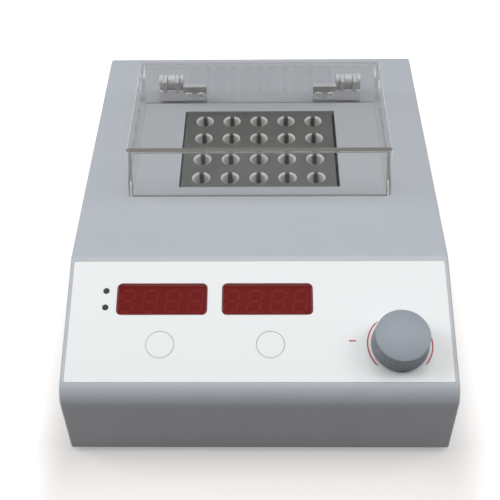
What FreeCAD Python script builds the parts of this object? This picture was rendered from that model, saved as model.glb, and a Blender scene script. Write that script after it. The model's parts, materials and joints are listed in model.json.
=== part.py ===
# Dry bath incubator: a moulded housing with a tilted front panel, an aluminium tube block
# in a heated cavity, a clear hinged lid, and the electronics and rear inlet that drive it.
#
# Frame: millimetres, +Z up, +X to the right of someone who faces the panel, the panel's
# side faces -Y. The origin is on the table under the middle of the housing.

import FreeCAD, Part
import math
import os

import Sketcher
from FreeCAD import Placement, Rotation, Vector

SIZES = [
    # housing
    ("overall_width", 212.0, "housing, side to side"),
    ("overall_depth", 280.0, "housing, nose to rear face"),
    ("top_height", 80.7, "flat deck above the table"),
    ("rim_height", 4.0, "housing's lower rim above the table"),
    ("wall", 3.0, "moulded wall"),
    ("front_lean", 2.9, "front face, degrees off vertical, nose forward"),
    ("panel_tilt", 20.3, "panel, degrees off horizontal"),
    ("crease_setback", 76.7, "nose to the crease between panel and deck"),
    ("nose_radius", 12.5, "round between panel and front face"),
    ("crease_radius", 3.0, "round between panel and deck"),
    ("rear_radius", 3.0, "round between deck and rear face"),
    ("edge_radius", 1.5, "round along both sides of the outline"),
    # heating block and its wells
    ("block_width", 95.9, "block, side to side"),
    ("block_depth", 73.7, "block, front to back"),
    ("block_height", 50.8, "block, top to bottom"),
    ("block_recess", 1.0, "block's top below the deck"),
    ("block_from_rear", 104.4, "block's middle to the rear face"),
    ("block_shift", 0.5, "block lies this far left of the opening's middle"),
    ("block_edge", 0.5, "chamfer round the block's top"),
    ("play_width", 1.1, "gap beside the block, each side"),
    ("play_depth", 0.5, "gap before and behind the block"),
    ("well_columns", 5, "wells side to side"),
    ("well_rows", 4, "wells front to back"),
    ("well_pitch_width", 17.7, "well spacing, side to side"),
    ("well_pitch_depth", 18.3, "well spacing, front to back"),
    ("well_radius", 5.5, "bore for a 1.5 ml tube"),
    ("well_depth", 40.0, "well, mouth to tip"),
    ("well_point", 3.2, "drill point at a well's end"),
    # heated cavity
    ("liner_wall", 1.5, "cavity liner"),
    ("plate_thickness", 6.0, "heater plate"),
    ("plate_margin", 9.0, "heater plate beyond the liner"),
    ("mat_thickness", 1.5, "heater mat under the plate"),
    ("mat_margin", 14.0, "plate's edge to the mat's edge"),
    ("felt_thickness", 8.0, "insulation round the liner"),
    ("felt_gap", 3.0, "insulation's top to the housing"),
    ("slab_air", 3.0, "air between the insulation under the mat and the tray"),
    ("pillar_radius", 4.0, "pillars under the heater plate"),
    ("pillar_inset", 5.5, "pillar's axis from the plate's edges"),
    ("probe_radius", 2.0, "temperature probe"),
    ("probe_length", 30.0, "temperature probe"),
    ("probe_bore_depth", 24.0, "probe's hole in the plate"),
    ("cutout_radius", 6.0, "thermal cut-out"),
    ("cutout_height", 6.0, "thermal cut-out"),
    # base tray and feet
    ("sheet", 1.2, "steel sheet"),
    ("tray_lift", 1.0, "tray's underside above the housing's rim"),
    ("tray_gap", 0.4, "tray to the housing's walls"),
    ("tray_bend", 2.0, "bend between floor and upstand"),
    ("upstand_width", 150.0, "rear upstand"),
    ("upstand_height", 62.0, "rear upstand"),
    ("rear_window_width", 130.0, "opening in the housing's rear wall"),
    ("rear_window_low", 14.0, "its lower edge above the table"),
    ("rear_window_high", 60.0, "its upper edge above the table"),
    ("vent_count", 9, "vent slots in the floor"),
    ("vent_pitch", 9.0, "vent slots"),
    ("vent_width", 3.0, "vent slot"),
    ("vent_length", 36.0, "vent slot"),
    ("foot_radius", 8.0, "rubber foot"),
    ("foot_inset_side", 20.0, "foot's axis from the side"),
    ("foot_inset_end", 22.0, "foot's axis from the nose and the rear"),
    ("boss_radius", 4.5, "screw bosses in the housing"),
    ("boss_inset", 9.5, "boss's axis from the side wall's outer face"),
    ("boss_front", 50.0, "front bosses from the nose"),
    ("boss_rear", 40.0, "rear bosses from the rear face"),
    # screws
    ("screw_pilot", 1.25, "hole that an M3 screw bites in"),
    ("screw_pass", 1.7, "hole that an M3 screw passes"),
    ("screw_head", 2.9, "room for an M3 head"),
    ("screw_bite", 8.0, "depth of a screw's hole in a boss or post"),
    # front panel
    ("overlay_margin", 2.4, "overlay's side edges from the housing's sides"),
    ("overlay_length", 70.6, "white overlay, along the slope"),
    ("overlay_from_crease", 3.2, "overlay's upper edge from the crease"),
    ("overlay_thickness", 0.5, "white overlay"),
    ("overlay_recess", 0.4, "recess that the overlay lies in"),
    ("overlay_fit", 0.15, "overlay to its recess"),
    ("overlay_corner", 1.0, "overlay's corners"),
    ("window_width", 50.0, "display window"),
    ("window_height", 18.8, "display window"),
    ("window_corner", 3.0, "display window's corners"),
    ("window_thickness", 1.0, "display window"),
    ("window_fit", 0.05, "window to its opening"),
    ("window_ledge", 0.8, "ledge that carries the window"),
    ("window_from_crease", 26.1, "windows' middle from the crease"),
    ("left_window_inset", 50.2, "left display from the overlay's left edge"),
    ("window_pitch", 58.0, "from the left display to the right one"),
    ("indicator_inset", 19.2, "indicator lenses from the overlay's left edge"),
    ("upper_indicator", 21.2, "upper indicator from the crease"),
    ("lower_indicator", 31.0, "lower indicator from the crease"),
    ("indicator_radius", 1.75, "indicator lens"),
    ("indicator_flange", 2.4, "indicator lens's collar"),
    ("controls_from_crease", 52.6, "keys and knob from the crease"),
    ("heat_key_inset", 50.1, "heat key from the overlay's left edge"),
    ("key_pitch", 59.7, "from the heat key to the timer key"),
    ("key_radius", 7.4, "key cap"),
    ("key_fit", 0.2, "key to its hole"),
    ("key_flange", 8.7, "key's retaining flange"),
    ("key_flange_thickness", 1.2, "key's retaining flange"),
    ("key_stem", 2.5, "key's stem"),
    ("key_travel_gap", 0.6, "stem to its switch at rest"),
    ("switch_size", 6.0, "tact switch"),
    ("switch_height", 4.0, "tact switch"),
    ("switch_plunger", 0.8, "tact switch's plunger above its case"),
    ("module_width", 50.3, "LED module"),
    ("module_length", 19.0, "LED module"),
    ("module_thickness", 8.0, "LED module"),
    ("module_gap", 0.2, "LED module to the panel wall"),
    ("board_thickness", 1.6, "circuit boards"),
    ("board_gap", 1.0, "display board's ends to the case bosses"),
    ("display_board_length", 60.0, "display board"),
    ("display_board_drop", 38.0, "display board's middle from the crease"),
    ("board_hole_inset", 3.6, "board screws from the board's edges"),
    ("post_radius", 3.0, "posts that carry boards"),
    ("post_cover", 0.6, "housing wall over the ends of the display board's posts"),
    # knob and encoder
    ("knob_inset", 27.9, "knob from the overlay's right edge"),
    ("knob_radius", 15.6, "knob's skirt"),
    ("knob_top_radius", 14.7, "knob's top"),
    ("knob_height", 13.0, "knob"),
    ("knob_gap", 1.0, "knob above the overlay"),
    ("knob_wall", 2.0, "knob"),
    ("knob_bevel", 1.0, "bevel at the knob's top"),
    ("knob_boss", 5.5, "boss inside the knob"),
    ("knob_boss_gap", 0.9, "boss above the encoder bush"),
    ("shaft_radius", 3.0, "encoder shaft"),
    ("shaft_fit", 0.05, "shaft in its bush"),
    ("shaft_reach", 12.0, "shaft above the panel"),
    ("bush_radius", 3.5, "encoder bush"),
    ("bush_reach", 3.4, "bush above the panel"),
    ("bush_fit", 0.2, "bush to its hole"),
    ("nut_across", 10.0, "encoder nut, across flats"),
    ("nut_height", 2.0, "encoder nut"),
    ("encoder_width", 12.4, "encoder body"),
    ("encoder_wall", 1.0, "encoder body"),
    ("rotor_radius", 4.8, "encoder rotor"),
    ("rotor_height", 1.6, "encoder rotor"),
    ("rotor_fit", 0.3, "rotor in the encoder body"),
    # lid and hinges
    ("lid_width", 157.7, "lid at its lower edge"),
    ("lid_depth", 96.9, "lid at its lower edge"),
    ("lid_height", 33.2, "lid"),
    ("lid_draft", 2.9, "lid's walls, degrees off vertical"),
    ("lid_wall", 3.0, "lid"),
    ("lid_corner", 2.5, "lid's upright corners"),
    ("lid_edge", 0.8, "bevel of the lid's upper edge"),
    ("lid_gap", 0.3, "lid above the deck"),
    ("lid_from_rear", 103.85, "lid's middle to the rear face"),
    ("pin_behind_lid", 7.5, "hinge axis behind the lid's lower rear edge"),
    ("pin_height", 12.0, "hinge axis above the deck"),
    ("pin_radius", 1.5, "hinge pin"),
    ("pin_fit", 0.05, "pin in its knuckles"),
    ("knuckle_radius", 4.0, "hinge knuckle"),
    ("knuckle_flat", 0.08, "flat left between a knuckle's two rounds"),
    ("knuckle_width", 2.5, "side knuckles"),
    ("knuckle_gap", 0.3, "between knuckles"),
    ("hinge_x", 58.7, "knuckles' middle from the lid's middle"),
    ("hinge_foot_height", 7.6, "hinge base above the deck"),
    ("hinge_foot_roof", 1.52, "hinge base left over its screw holes"),
    ("hinge_foot_back", 6.5, "hinge base behind the hinge axis"),
    ("leaf_lift", 1.2, "leaf's lower edge above the deck"),
    ("leaf_thickness", 2.5, "leaf"),
    ("leaf_height", 8.4, "leaf's upper edge above the deck"),
    ("lug_width", 15.2, "leaf's screw lug"),
    ("lug_height", 12.5, "lug's upper edge above the deck"),
    ("lug_thickness", 3.0, "lug"),
    ("lug_screw_height", 6.8, "lug screws above the deck"),
    ("lug_screw_spacing", 8.0, "lug screws"),
    ("seat_gap", 0.05, "between pieces that are screwed together"),
    # electronics in the housing
    ("control_board_width", 100.0, "control board"),
    ("control_board_depth", 70.0, "control board"),
    ("control_board_inset", 68.0, "control board's middle from the housing's left side"),
    ("control_board_front", 24.0, "control board's edge from the nose"),
    ("standoff_height", 6.0, "control board above the tray"),
    ("core_width", 45.0, "transformer core"),
    ("core_depth", 18.0, "transformer core"),
    ("core_height", 36.0, "transformer core"),
    ("core_limb", 8.0, "transformer core's limbs"),
    ("winding_depth", 32.0, "transformer winding"),
    ("winding_corner", 4.0, "transformer winding's corners"),
    ("winding_gap", 0.2, "winding to the core"),
    ("transformer_inset", 44.0, "transformer from the housing's right side"),
    ("transformer_front", 62.0, "transformer from the nose"),
    ("sink_width", 24.0, "heat sink"),
    ("sink_length", 50.0, "heat sink"),
    ("sink_height", 28.0, "heat sink"),
    ("sink_base", 4.0, "heat sink's back"),
    ("sink_root", 0.5, "fins into the heat sink's base"),
    ("sink_fin", 1.6, "heat sink's fins"),
    ("sink_fin_count", 6, "heat sink's fins"),
    ("sink_gap", 3.0, "heat sink's fins to the housing's wall"),
    ("triac_width", 10.2, "triac"),
    ("triac_height", 16.0, "triac"),
    ("triac_case", 9.6, "triac's case, below the bare tab"),
    ("triac_thickness", 4.4, "triac"),
    ("triac_tab", 1.32, "triac's tab"),
    # rear inlet and switch
    ("upstand_gap", 0.4, "upstand to the housing's rear wall"),
    ("inlet_x", 34.0, "mains inlet"),
    ("inlet_height", 38.0, "mains inlet above the table"),
    ("inlet_flange_width", 50.0, "inlet flange"),
    ("inlet_flange_height", 31.0, "inlet flange"),
    ("flange_thickness", 2.0, "flanges of inlet and switch"),
    ("flange_corner", 3.0, "flanges' corners"),
    ("inlet_body_width", 29.0, "inlet body"),
    ("inlet_body_height", 27.6, "inlet body"),
    ("inlet_body_depth", 26.0, "inlet body behind its flange"),
    ("inlet_screw_spacing", 40.0, "inlet screws"),
    ("socket_width", 24.0, "socket for the mains plug"),
    ("socket_height", 15.6, "socket"),
    ("socket_depth", 16.0, "socket"),
    ("socket_chamfer", 4.0, "socket's two upper corners"),
    ("socket_rise", 4.8, "socket's middle above the inlet's"),
    ("blade_width", 2.0, "inlet blades"),
    ("blade_height", 4.0, "inlet blades"),
    ("blade_length", 13.0, "inlet blades"),
    ("blade_root", 0.5, "blades into the socket's floor"),
    ("blade_spacing", 14.0, "between the two power blades"),
    ("earth_rise", 4.0, "earth blade above the power blades"),
    ("drawer_width", 24.0, "fuse drawer"),
    ("drawer_height", 7.4, "fuse drawer"),
    ("drawer_depth", 22.0, "fuse drawer"),
    ("drawer_drop", 8.9, "fuse drawer's middle below the inlet's"),
    ("drawer_fit", 0.2, "fuse drawer in its slot"),
    ("drawer_wall", 1.2, "fuse drawer"),
    ("fuse_radius", 2.4, "fuse"),
    ("fuse_length", 19.0, "fuse"),
    ("fuse_fit", 0.2, "fuse in its trough"),
    ("switch_x", -22.0, "rocker switch"),
    ("bezel_width", 15.0, "switch bezel"),
    ("bezel_height", 21.0, "switch bezel"),
    ("switch_body_width", 13.2, "switch body"),
    ("switch_body_height", 19.2, "switch body"),
    ("switch_body_depth", 16.0, "switch body"),
    ("rocker_width", 10.6, "rocker"),
    ("rocker_radius", 7.9, "rocker, half its height"),
    ("rocker_fit", 0.6, "rocker in its bezel"),
    ("rocker_depth", 2.0, "rocker's axis inside the upstand's face"),
    ("rocker_rise", 4.2, "rocker's ends above its axis"),
    ("rocker_dip", 2.9, "rocker's middle above its axis"),
    ("rocker_skirt", 2.4, "rocker below its axis"),
    ("rocker_pin", 1.2, "rocker's pivot pins"),
    ("rocker_pin_fit", 0.05, "pivot pins in the switch body"),
    ("rocker_rest", 8.0, "rocker's tilt at rest, degrees"),
    ("panel_hole_fit", 0.2, "inlet and switch in the upstand"),
]


class Size:
    """A length or angle that carries its number and the sheet formula behind it."""

    def __init__(self, number, formula=None):
        self.number = float(number)
        self.formula = formula or "%.10g" % self.number

    def __add__(self, other):
        other = as_size(other)
        return Size(self.number + other.number, "(%s + %s)" % (self.formula, other.formula))

    def __sub__(self, other):
        other = as_size(other)
        return Size(self.number - other.number, "(%s - %s)" % (self.formula, other.formula))

    def __mul__(self, other):
        other = as_size(other)
        return Size(self.number * other.number, "(%s * %s)" % (self.formula, other.formula))

    def __truediv__(self, other):
        other = as_size(other)
        return Size(self.number / other.number, "(%s / %s)" % (self.formula, other.formula))

    def __radd__(self, other):
        return as_size(other) + self

    def __rsub__(self, other):
        return as_size(other) - self

    def __rmul__(self, other):
        return as_size(other) * self

    def __neg__(self):
        return Size(-self.number, "(0 - %s)" % self.formula)


def as_size(value):
    return value if isinstance(value, Size) else Size(value)


def sine(angle):
    return Size(math.sin(math.radians(angle.number)), "sin(%s)" % angle.formula)


def cosine(angle):
    return Size(math.cos(math.radians(angle.number)), "cos(%s)" % angle.formula)


def tangent(angle):
    return sine(angle) / cosine(angle)


class Dimensions:
    """The driving dimensions, each under its alias in the sheet."""


doc = FreeCAD.newDocument("DryBath")
sheet = doc.addObject("Spreadsheet::Sheet", "Sizes")
d = Dimensions()
for row, (alias, value, meaning) in enumerate(SIZES, 1):
    sheet.set("A%d" % row, meaning)
    sheet.set("B%d" % row, str(value))
    sheet.setAlias("B%d" % row, alias)
    setattr(d, alias, Size(value, "Sizes." + alias))
doc.recompute()

NODES = []
NEAR = 0.01  # edges and faces are told apart by places that agree to this


# Drawing tools


def bind(thing, prop, value):
    """Ties one property of an object to the sheet."""
    thing.setExpression(prop, as_size(value).formula)


def place(thing, origin=(0, 0, 0), axis=None, angle=None):
    """Puts an object at origin, turned by angle about axis."""
    x, y, z = (as_size(c) for c in origin)
    turn = Rotation() if axis is None else Rotation(Vector(*axis), as_size(angle).number)
    thing.Placement = Placement(Vector(x.number, y.number, z.number), turn)
    for name, coordinate in zip("xyz", (x, y, z)):
        bind(thing, "Placement.Base." + name, coordinate)
    if isinstance(angle, Size):
        bind(thing, "Placement.Rotation.Angle", angle)


def node(thing, label):
    """Names a finished sub-part and lists it for export."""
    thing.Label = label
    NODES.append(thing)
    return thing


def new_body(label, seat=None):
    """A PartDesign body that is a sub-part; seat places it, as place() does."""
    body = doc.addObject("PartDesign::Body", label)
    if seat:
        place(body, *seat)
    return node(body, label)


def sketch(body, plane, offset=(0, 0, 0), axis=None, angle=None):
    """A sketch on one of the body's own planes, moved by offset in that plane's frame."""
    made = body.newObject("Sketcher::SketchObject", "Sketch")
    support = [f for f in body.Origin.OriginFeatures if f.Role == plane + "_Plane"][0]
    made.AttachmentSupport = [(support, "")]
    made.MapMode = "FlatFace"
    x, y, z = (as_size(c) for c in offset)
    turn = Rotation() if axis is None else Rotation(Vector(*axis), angle.number)
    made.AttachmentOffset = Placement(Vector(x.number, y.number, z.number), turn)
    for name, coordinate in zip("xyz", (x, y, z)):
        bind(made, "AttachmentOffset.Base." + name, coordinate)
    if angle is not None:
        bind(made, "AttachmentOffset.Rotation.Angle", angle)
    return made


def constrain(made, kind, *arguments):
    """Adds a sketch constraint; a Size as the last argument ties it to the sheet."""
    value = arguments[-1]
    if isinstance(value, Size):
        index = made.addConstraint(Sketcher.Constraint(kind, *arguments[:-1], value.number))
        bind(made, "Constraints[%d]" % index, value)
    else:
        made.addConstraint(Sketcher.Constraint(kind, *arguments))


def pin_point(made, geometry, position, x, y):
    constrain(made, "DistanceX", -1, 1, geometry, position, as_size(x))
    constrain(made, "DistanceY", -1, 1, geometry, position, as_size(y))


def outline(made, corners):
    """A closed outline through corners (x, y) or (x, y, radius of the round there)."""
    corners = [tuple(as_size(c) for c in corner) for corner in corners]
    spots = [Vector(c[0].number, c[1].number, 0) for c in corners]
    count = len(corners)
    arrive, leave, centres = [], [], []
    for i, corner in enumerate(corners):
        back = (spots[i - 1] - spots[i]).normalize()
        onward = (spots[(i + 1) % count] - spots[i]).normalize()
        radius = corner[2].number if len(corner) > 2 else 0
        half = back.getAngle(onward) / 2
        reach = radius / math.tan(half)
        arrive.append(spots[i] + back * reach)
        leave.append(spots[i] + onward * reach)
        inward = (back + onward).normalize() if radius else Vector()
        centres.append((spots[i] + inward * (radius / math.sin(half)), inward, radius))
    sides = [
        made.addGeometry(Part.LineSegment(leave[i], arrive[(i + 1) % count]), False)
        for i in range(count)
    ]
    for i, corner in enumerate(corners):
        point = made.addGeometry(Part.Point(spots[i]), True)
        pin_point(made, point, 1, corner[0], corner[1])
        before, after = sides[i - 1], sides[i]
        if len(corner) == 2:
            made.addConstraint(Sketcher.Constraint("Coincident", before, 2, point, 1))
            made.addConstraint(Sketcher.Constraint("Coincident", after, 1, point, 1))
            continue
        centre, inward, radius = centres[i]
        arc = made.addGeometry(Part.Arc(arrive[i], centre - inward * radius, leave[i]), False)
        forward = (made.Geometry[arc].StartPoint - arrive[i]).Length < 1e-6
        first, last = (1, 2) if forward else (2, 1)
        made.addConstraint(Sketcher.Constraint("PointOnObject", point, 1, before))
        made.addConstraint(Sketcher.Constraint("PointOnObject", point, 1, after))
        made.addConstraint(Sketcher.Constraint("Tangent", before, 2, arc, first))
        made.addConstraint(Sketcher.Constraint("Tangent", arc, last, after, 1))
        constrain(made, "Radius", arc, corner[2])


def rectangle(made, x, y, width, height, radius=None):
    """A rectangle about its middle, with rounded corners if a radius is given."""
    x, y, right, up = as_size(x), as_size(y), as_size(width) / 2, as_size(height) / 2
    corners = [(x - right, y - up), (x + right, y - up), (x + right, y + up), (x - right, y + up)]
    if radius is not None:
        corners = [corner + (radius,) for corner in corners]
    outline(made, corners)


def circle(made, x, y, radius):
    x, y, radius = as_size(x), as_size(y), as_size(radius)
    round_ = Part.Circle(Vector(x.number, y.number, 0), Vector(0, 0, 1), radius.number)
    index = made.addGeometry(round_, False)
    pin_point(made, index, 3, x, y)
    constrain(made, "Radius", index, radius)


def pad(body, profile, length, back=False, middle=False):
    made = body.newObject("PartDesign::Pad", "Pad")
    made.Profile = profile
    made.Reversed = back
    made.SideType = "Symmetric" if middle else "One side"
    bind(made, "Length", length)
    return made


def pocket(body, profile, length, back=False, middle=False):
    made = body.newObject("PartDesign::Pocket", "Pocket")
    made.Profile = profile
    made.Reversed = back
    made.SideType = "Symmetric" if middle else "One side"
    bind(made, "Length", length)
    return made


def turn(body, profile, x=0, kind="PartDesign::Revolution"):
    """Turns a profile about the upright line at x in its own sketch."""
    x = as_size(x)
    low, high = Vector(x.number, 0, 0), Vector(x.number, 1, 0)
    axis = profile.addGeometry(Part.LineSegment(low, high), True)
    pin_point(profile, axis, 1, x, 0)
    pin_point(profile, axis, 2, x, 1)
    made = body.newObject(kind, "Turned")
    made.Profile = profile
    made.ReferenceAxis = (profile, ["Axis0"])
    made.Angle = 360
    return made


def loft(body, sections):
    made = body.newObject("PartDesign::AdditiveLoft", "Loft")
    made.Profile = sections[0]
    made.Sections = sections[1:]
    made.Ruled = True
    return made


def pattern(body, feature, profile, directions):
    """Repeats a feature along its sketch's axes: directions are (axis, count, spacing)."""
    made = body.newObject("PartDesign::LinearPattern", "Pattern")
    made.Originals = [feature]
    for suffix, (axis, count, spacing) in zip(("", "2"), directions):
        setattr(made, "Direction" + suffix, (profile, [axis]))
        setattr(made, "Mode" + suffix, "Extent")
        bind(made, "Occurrences" + suffix, count)
        bind(made, "Length" + suffix, (count - 1) * spacing)
    body.Tip = made
    return made


def dress(body, kind, size_name, size, wanted):
    """A fillet or chamfer on the tip's edges that wanted(edge) picks."""
    doc.recompute()
    base = body.Tip
    names = ["Edge%d" % i for i, edge in enumerate(base.Shape.Edges, 1) if wanted(edge)]
    made = body.newObject(kind, "Dressed")
    made.Base = (base, names)
    bind(made, size_name, size)
    return made


def fillet(body, radius, wanted):
    return dress(body, "PartDesign::Fillet", "Radius", radius, wanted)


def chamfer(body, size, wanted):
    return dress(body, "PartDesign::Chamfer", "Size", size, wanted)


def in_plane(axis, coordinate):
    """Picks the edges that lie wholly in a plane across an axis."""
    low, high = axis.upper() + "Min", axis.upper() + "Max"
    level = as_size(coordinate).number

    def wanted(edge):
        box = edge.BoundBox
        return abs(getattr(box, low) - level) < NEAR and abs(getattr(box, high) - level) < NEAR

    return wanted


def cylinder(radius, length, origin=(0, 0, 0), axis=None, angle=None):
    made = doc.addObject("Part::Cylinder", "Round")
    bind(made, "Radius", radius)
    bind(made, "Height", length)
    place(made, origin, axis, angle)
    return made


def group(label, members, seat=None):
    """Like pieces that share one node, each a solid of its own."""
    made = doc.addObject("Part::Compound", label)
    made.Links = members
    if seat:
        place(made, *seat)
    return node(made, label)


# Places that several pieces share

half_width = d.overall_width / 2
half_depth = d.overall_depth / 2
nose_y = -half_depth
rear_y = half_depth
crease_y = nose_y + d.crease_setback
ceiling = d.top_height - d.wall

tray_low = d.rim_height + d.tray_lift
floor_top = tray_low + d.sheet
upstand_face = rear_y - d.wall - d.upstand_gap

block_y = rear_y - d.block_from_rear
block_top = d.top_height - d.block_recess
block_low = block_top - d.block_height
cavity_width = d.block_width + 2 * d.play_width
cavity_depth = d.block_depth + 2 * d.play_depth
liner_width = cavity_width + 2 * d.liner_wall
liner_depth = cavity_depth + 2 * d.liner_wall
plate_width = liner_width + 2 * d.plate_margin
plate_depth = liner_depth + 2 * d.plate_margin
plate_low = block_low - d.plate_thickness
mat_low = plate_low - d.mat_thickness
slab_low = floor_top + d.slab_air

foot_places = [
    (sx * (half_width - d.foot_inset_side), sy * (half_depth - d.foot_inset_end))
    for sx in (-1, 1)
    for sy in (-1, 1)
]
boss_front_y = nose_y + d.boss_front
boss_rear_y = rear_y - d.boss_rear
boss_x = half_width - d.boss_inset
boss_places = [(sx * boss_x, y) for sx in (-1, 1) for y in (boss_front_y, boss_rear_y)]
pillar_places = [
    (sx * (plate_width / 2 - d.pillar_inset), block_y + sy * (plate_depth / 2 - d.pillar_inset))
    for sx in (-1, 1)
    for sy in (-1, 1)
]

# The panel's own frame: origin on the crease, x across, y up the slope, z out of the panel.
panel_seat = ((0, crease_y, d.top_height), (1, 0, 0), d.panel_tilt)
window_y = -d.window_from_crease
controls_y = -d.controls_from_crease
overlay_y = -(d.overlay_from_crease + d.overlay_length / 2)
overlay_top = d.overlay_thickness - d.overlay_recess
overlay_width = d.overall_width - 2 * d.overlay_margin
overlay_edge = overlay_width / 2
left_window_x = d.left_window_inset - overlay_edge
right_window_x = left_window_x + d.window_pitch
indicator_x = d.indicator_inset - overlay_edge
heat_key_x = d.heat_key_inset - overlay_edge
timer_key_x = heat_key_x + d.key_pitch
knob_x = overlay_edge - d.knob_inset
display_board_width = 2 * (boss_x - d.boss_radius - d.board_gap)
board_y = -d.display_board_drop
module_front = -(d.wall + d.module_gap)
board_face = module_front - d.module_thickness
board_back = board_face - d.board_thickness
board_holes = [
    (
        sx * (display_board_width / 2 - d.board_hole_inset),
        board_y + sy * (d.display_board_length / 2 - d.board_hole_inset),
    )
    for sx in (-1, 1)
    for sy in (-1, 1)
]

# The rear frame: origin on the upstand's outer face, x to the left, y up, z out of the rear.
rear_seat = ((0, upstand_face, 0), (0, 1, 1), 180)

# The lid's walls lean in towards the top; wall_at gives the rear wall's outer face.
lid_y = rear_y - d.lid_from_rear
lid_low = d.top_height + d.lid_gap
lid_rear = lid_y + d.lid_depth / 2
pin_y = lid_rear + d.pin_behind_lid
pin_z = d.top_height + d.pin_height


def wall_at(above_deck):
    return lid_rear - (above_deck - d.lid_gap) * tangent(d.lid_draft)


# Top housing


def housing_outline(inset, bottom):
    """The housing's side outline, or that outline moved inwards by inset."""
    inset, bottom = as_size(inset), as_size(bottom)
    radius = d.nose_radius - inset
    spread = (cosine(d.panel_tilt) + sine(d.front_lean)) / cosine(d.panel_tilt - d.front_lean)
    corner_y = nose_y + d.nose_radius - radius * spread
    slope = tangent(d.panel_tilt)
    drop = inset / cosine(d.panel_tilt)
    corner_z = d.top_height - (crease_y - corner_y) * slope - drop
    foot_y = corner_y + (corner_z - bottom) * tangent(d.front_lean)
    bend_y = crease_y + inset * tangent(d.panel_tilt / 2)
    top = d.top_height - inset
    rear = rear_y - inset
    return [(rear, bottom), (rear, top), (bend_y, top), (corner_y, corner_z, radius), (foot_y, bottom)]


def rounded_housing_outline():
    rear_low, rear_top, bend, nose, front_low = housing_outline(0, d.rim_height)
    return [rear_low, rear_top + (d.rear_radius,), bend + (d.crease_radius,), nose, front_low]


def panel_sketch(body, depth):
    """A sketch in the panel's frame for a body in the main frame, depth below the panel."""
    tilt = d.panel_tilt
    offset = (0, crease_y + depth * sine(tilt), d.top_height - depth * cosine(tilt))
    return sketch(body, "XY", offset, (1, 0, 0), tilt)


def post(body, x, y, radius, low, high):
    made = sketch(body, "XY", (0, 0, low))
    circle(made, x, y, radius)
    pad(body, made, high - low)


def build_top_housing():
    body = new_body("top_housing")
    side = sketch(body, "YZ")
    outline(side, rounded_housing_outline())
    pad(body, side, d.overall_width, middle=True)

    def side_outline(edge):
        box = edge.BoundBox
        on_side = abs(abs(box.Center.x) - half_width.number) < NEAR and box.XLength < NEAR
        return on_side and box.ZMax > d.rim_height.number + NEAR

    fillet(body, d.edge_radius, side_outline)
    hollow = sketch(body, "YZ")
    outline(hollow, housing_outline(d.wall, d.rim_height - 1))
    pocket(body, hollow, d.overall_width - 2 * d.wall, middle=True)

    # bosses for the case screws, from just above the tray up into the roof
    slope = tangent(d.panel_tilt)
    front_roof = d.top_height - (crease_y - boss_front_y) * slope - d.wall
    for x, y in boss_places:
        roof = front_roof if y is boss_front_y else ceiling
        post(body, x, y, d.boss_radius, floor_top, roof + d.wall / 3)
    pilots = sketch(body, "XY", (0, 0, floor_top))
    for x, y in boss_places:
        circle(pilots, x, y, d.screw_pilot)
    pocket(body, pilots, d.screw_bite, back=True)

    # posts under the panel for the display board
    posts = panel_sketch(body, d.wall - d.post_cover)
    for x, y in board_holes:
        circle(posts, x, y, d.post_radius)
    pad(body, posts, -board_face - (d.wall - d.post_cover), back=True)
    threads = panel_sketch(body, -board_face)
    for x, y in board_holes:
        circle(threads, x, y, d.screw_pilot)
    pocket(body, threads, d.screw_bite, back=True)

    # opening for the block
    opening = sketch(body, "XY", (0, 0, ceiling - d.wall))
    rectangle(opening, 0, block_y, cavity_width, cavity_depth)
    pocket(body, opening, 3 * d.wall, back=True)

    # recess for the overlay, seats and holes for windows, keys, lenses and encoder
    recess = panel_sketch(body, 0)
    width = overlay_width + 2 * d.overlay_fit
    rectangle(recess, 0, overlay_y, width, d.overlay_length + 2 * d.overlay_fit, d.overlay_corner)
    pocket(body, recess, d.overlay_recess)
    seats = panel_sketch(body, 0)
    openings = panel_sketch(body, 0)
    for x in (left_window_x, right_window_x):
        seat_fit = 2 * d.window_fit
        rectangle(
            seats, x, window_y, d.window_width + seat_fit, d.window_height + seat_fit, d.window_corner
        )
        ledge = 2 * d.window_ledge
        rectangle(openings, x, window_y, d.window_width - ledge, d.window_height - ledge)
    pocket(body, seats, d.window_thickness)
    pocket(body, openings, 2 * d.wall)
    holes = panel_sketch(body, 0)
    for x in (heat_key_x, timer_key_x):
        circle(holes, x, controls_y, d.key_radius + d.key_fit)
    for y in (d.upper_indicator, d.lower_indicator):
        circle(holes, indicator_x, -y, d.indicator_radius + d.window_fit)
    circle(holes, knob_x, controls_y, d.bush_radius + d.bush_fit)
    pocket(body, holes, 2 * d.wall)

    # rear opening over the tray's upstand, and holes for the hinge screws
    window = sketch(body, "XZ", (0, 0, -(rear_y - 2 * d.wall)))
    middle = (d.rear_window_low + d.rear_window_high) / 2
    rectangle(
        window, 0, middle, d.rear_window_width, d.rear_window_high - d.rear_window_low, d.flange_corner
    )
    pocket(body, window, 3 * d.wall)
    hinge_holes = sketch(body, "XY", (0, 0, ceiling - d.wall))
    for side_sign in (-1, 1):
        for x, y in hinge_screw_places(side_sign):
            circle(hinge_holes, x, y, d.screw_pass)
    pocket(body, hinge_holes, 3 * d.wall, back=True)


# Hinges, one on each side: side is -1 for the left and 1 for the right


def knuckle_spans(side):
    """(start, width) of the five knuckles across x, outermost last; the odd ones turn."""
    narrow, wide, gap = d.knuckle_width, 2 * d.knuckle_width, d.knuckle_gap
    widths = [narrow, narrow, wide, narrow, narrow]
    start = side * d.hinge_x - hinge_width() / 2
    spans = []
    for width in widths:
        spans.append((start, width))
        start = start + width + gap
    return spans


def hinge_width():
    return 6 * d.knuckle_width + 4 * d.knuckle_gap


def hinge_screw_places(side):
    reach = hinge_width() / 2 - d.screw_head
    y = pin_y + d.hinge_foot_back / 2 - d.knuckle_gap
    return [(side * d.hinge_x - reach, y), (side * d.hinge_x + reach, y)]


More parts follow.
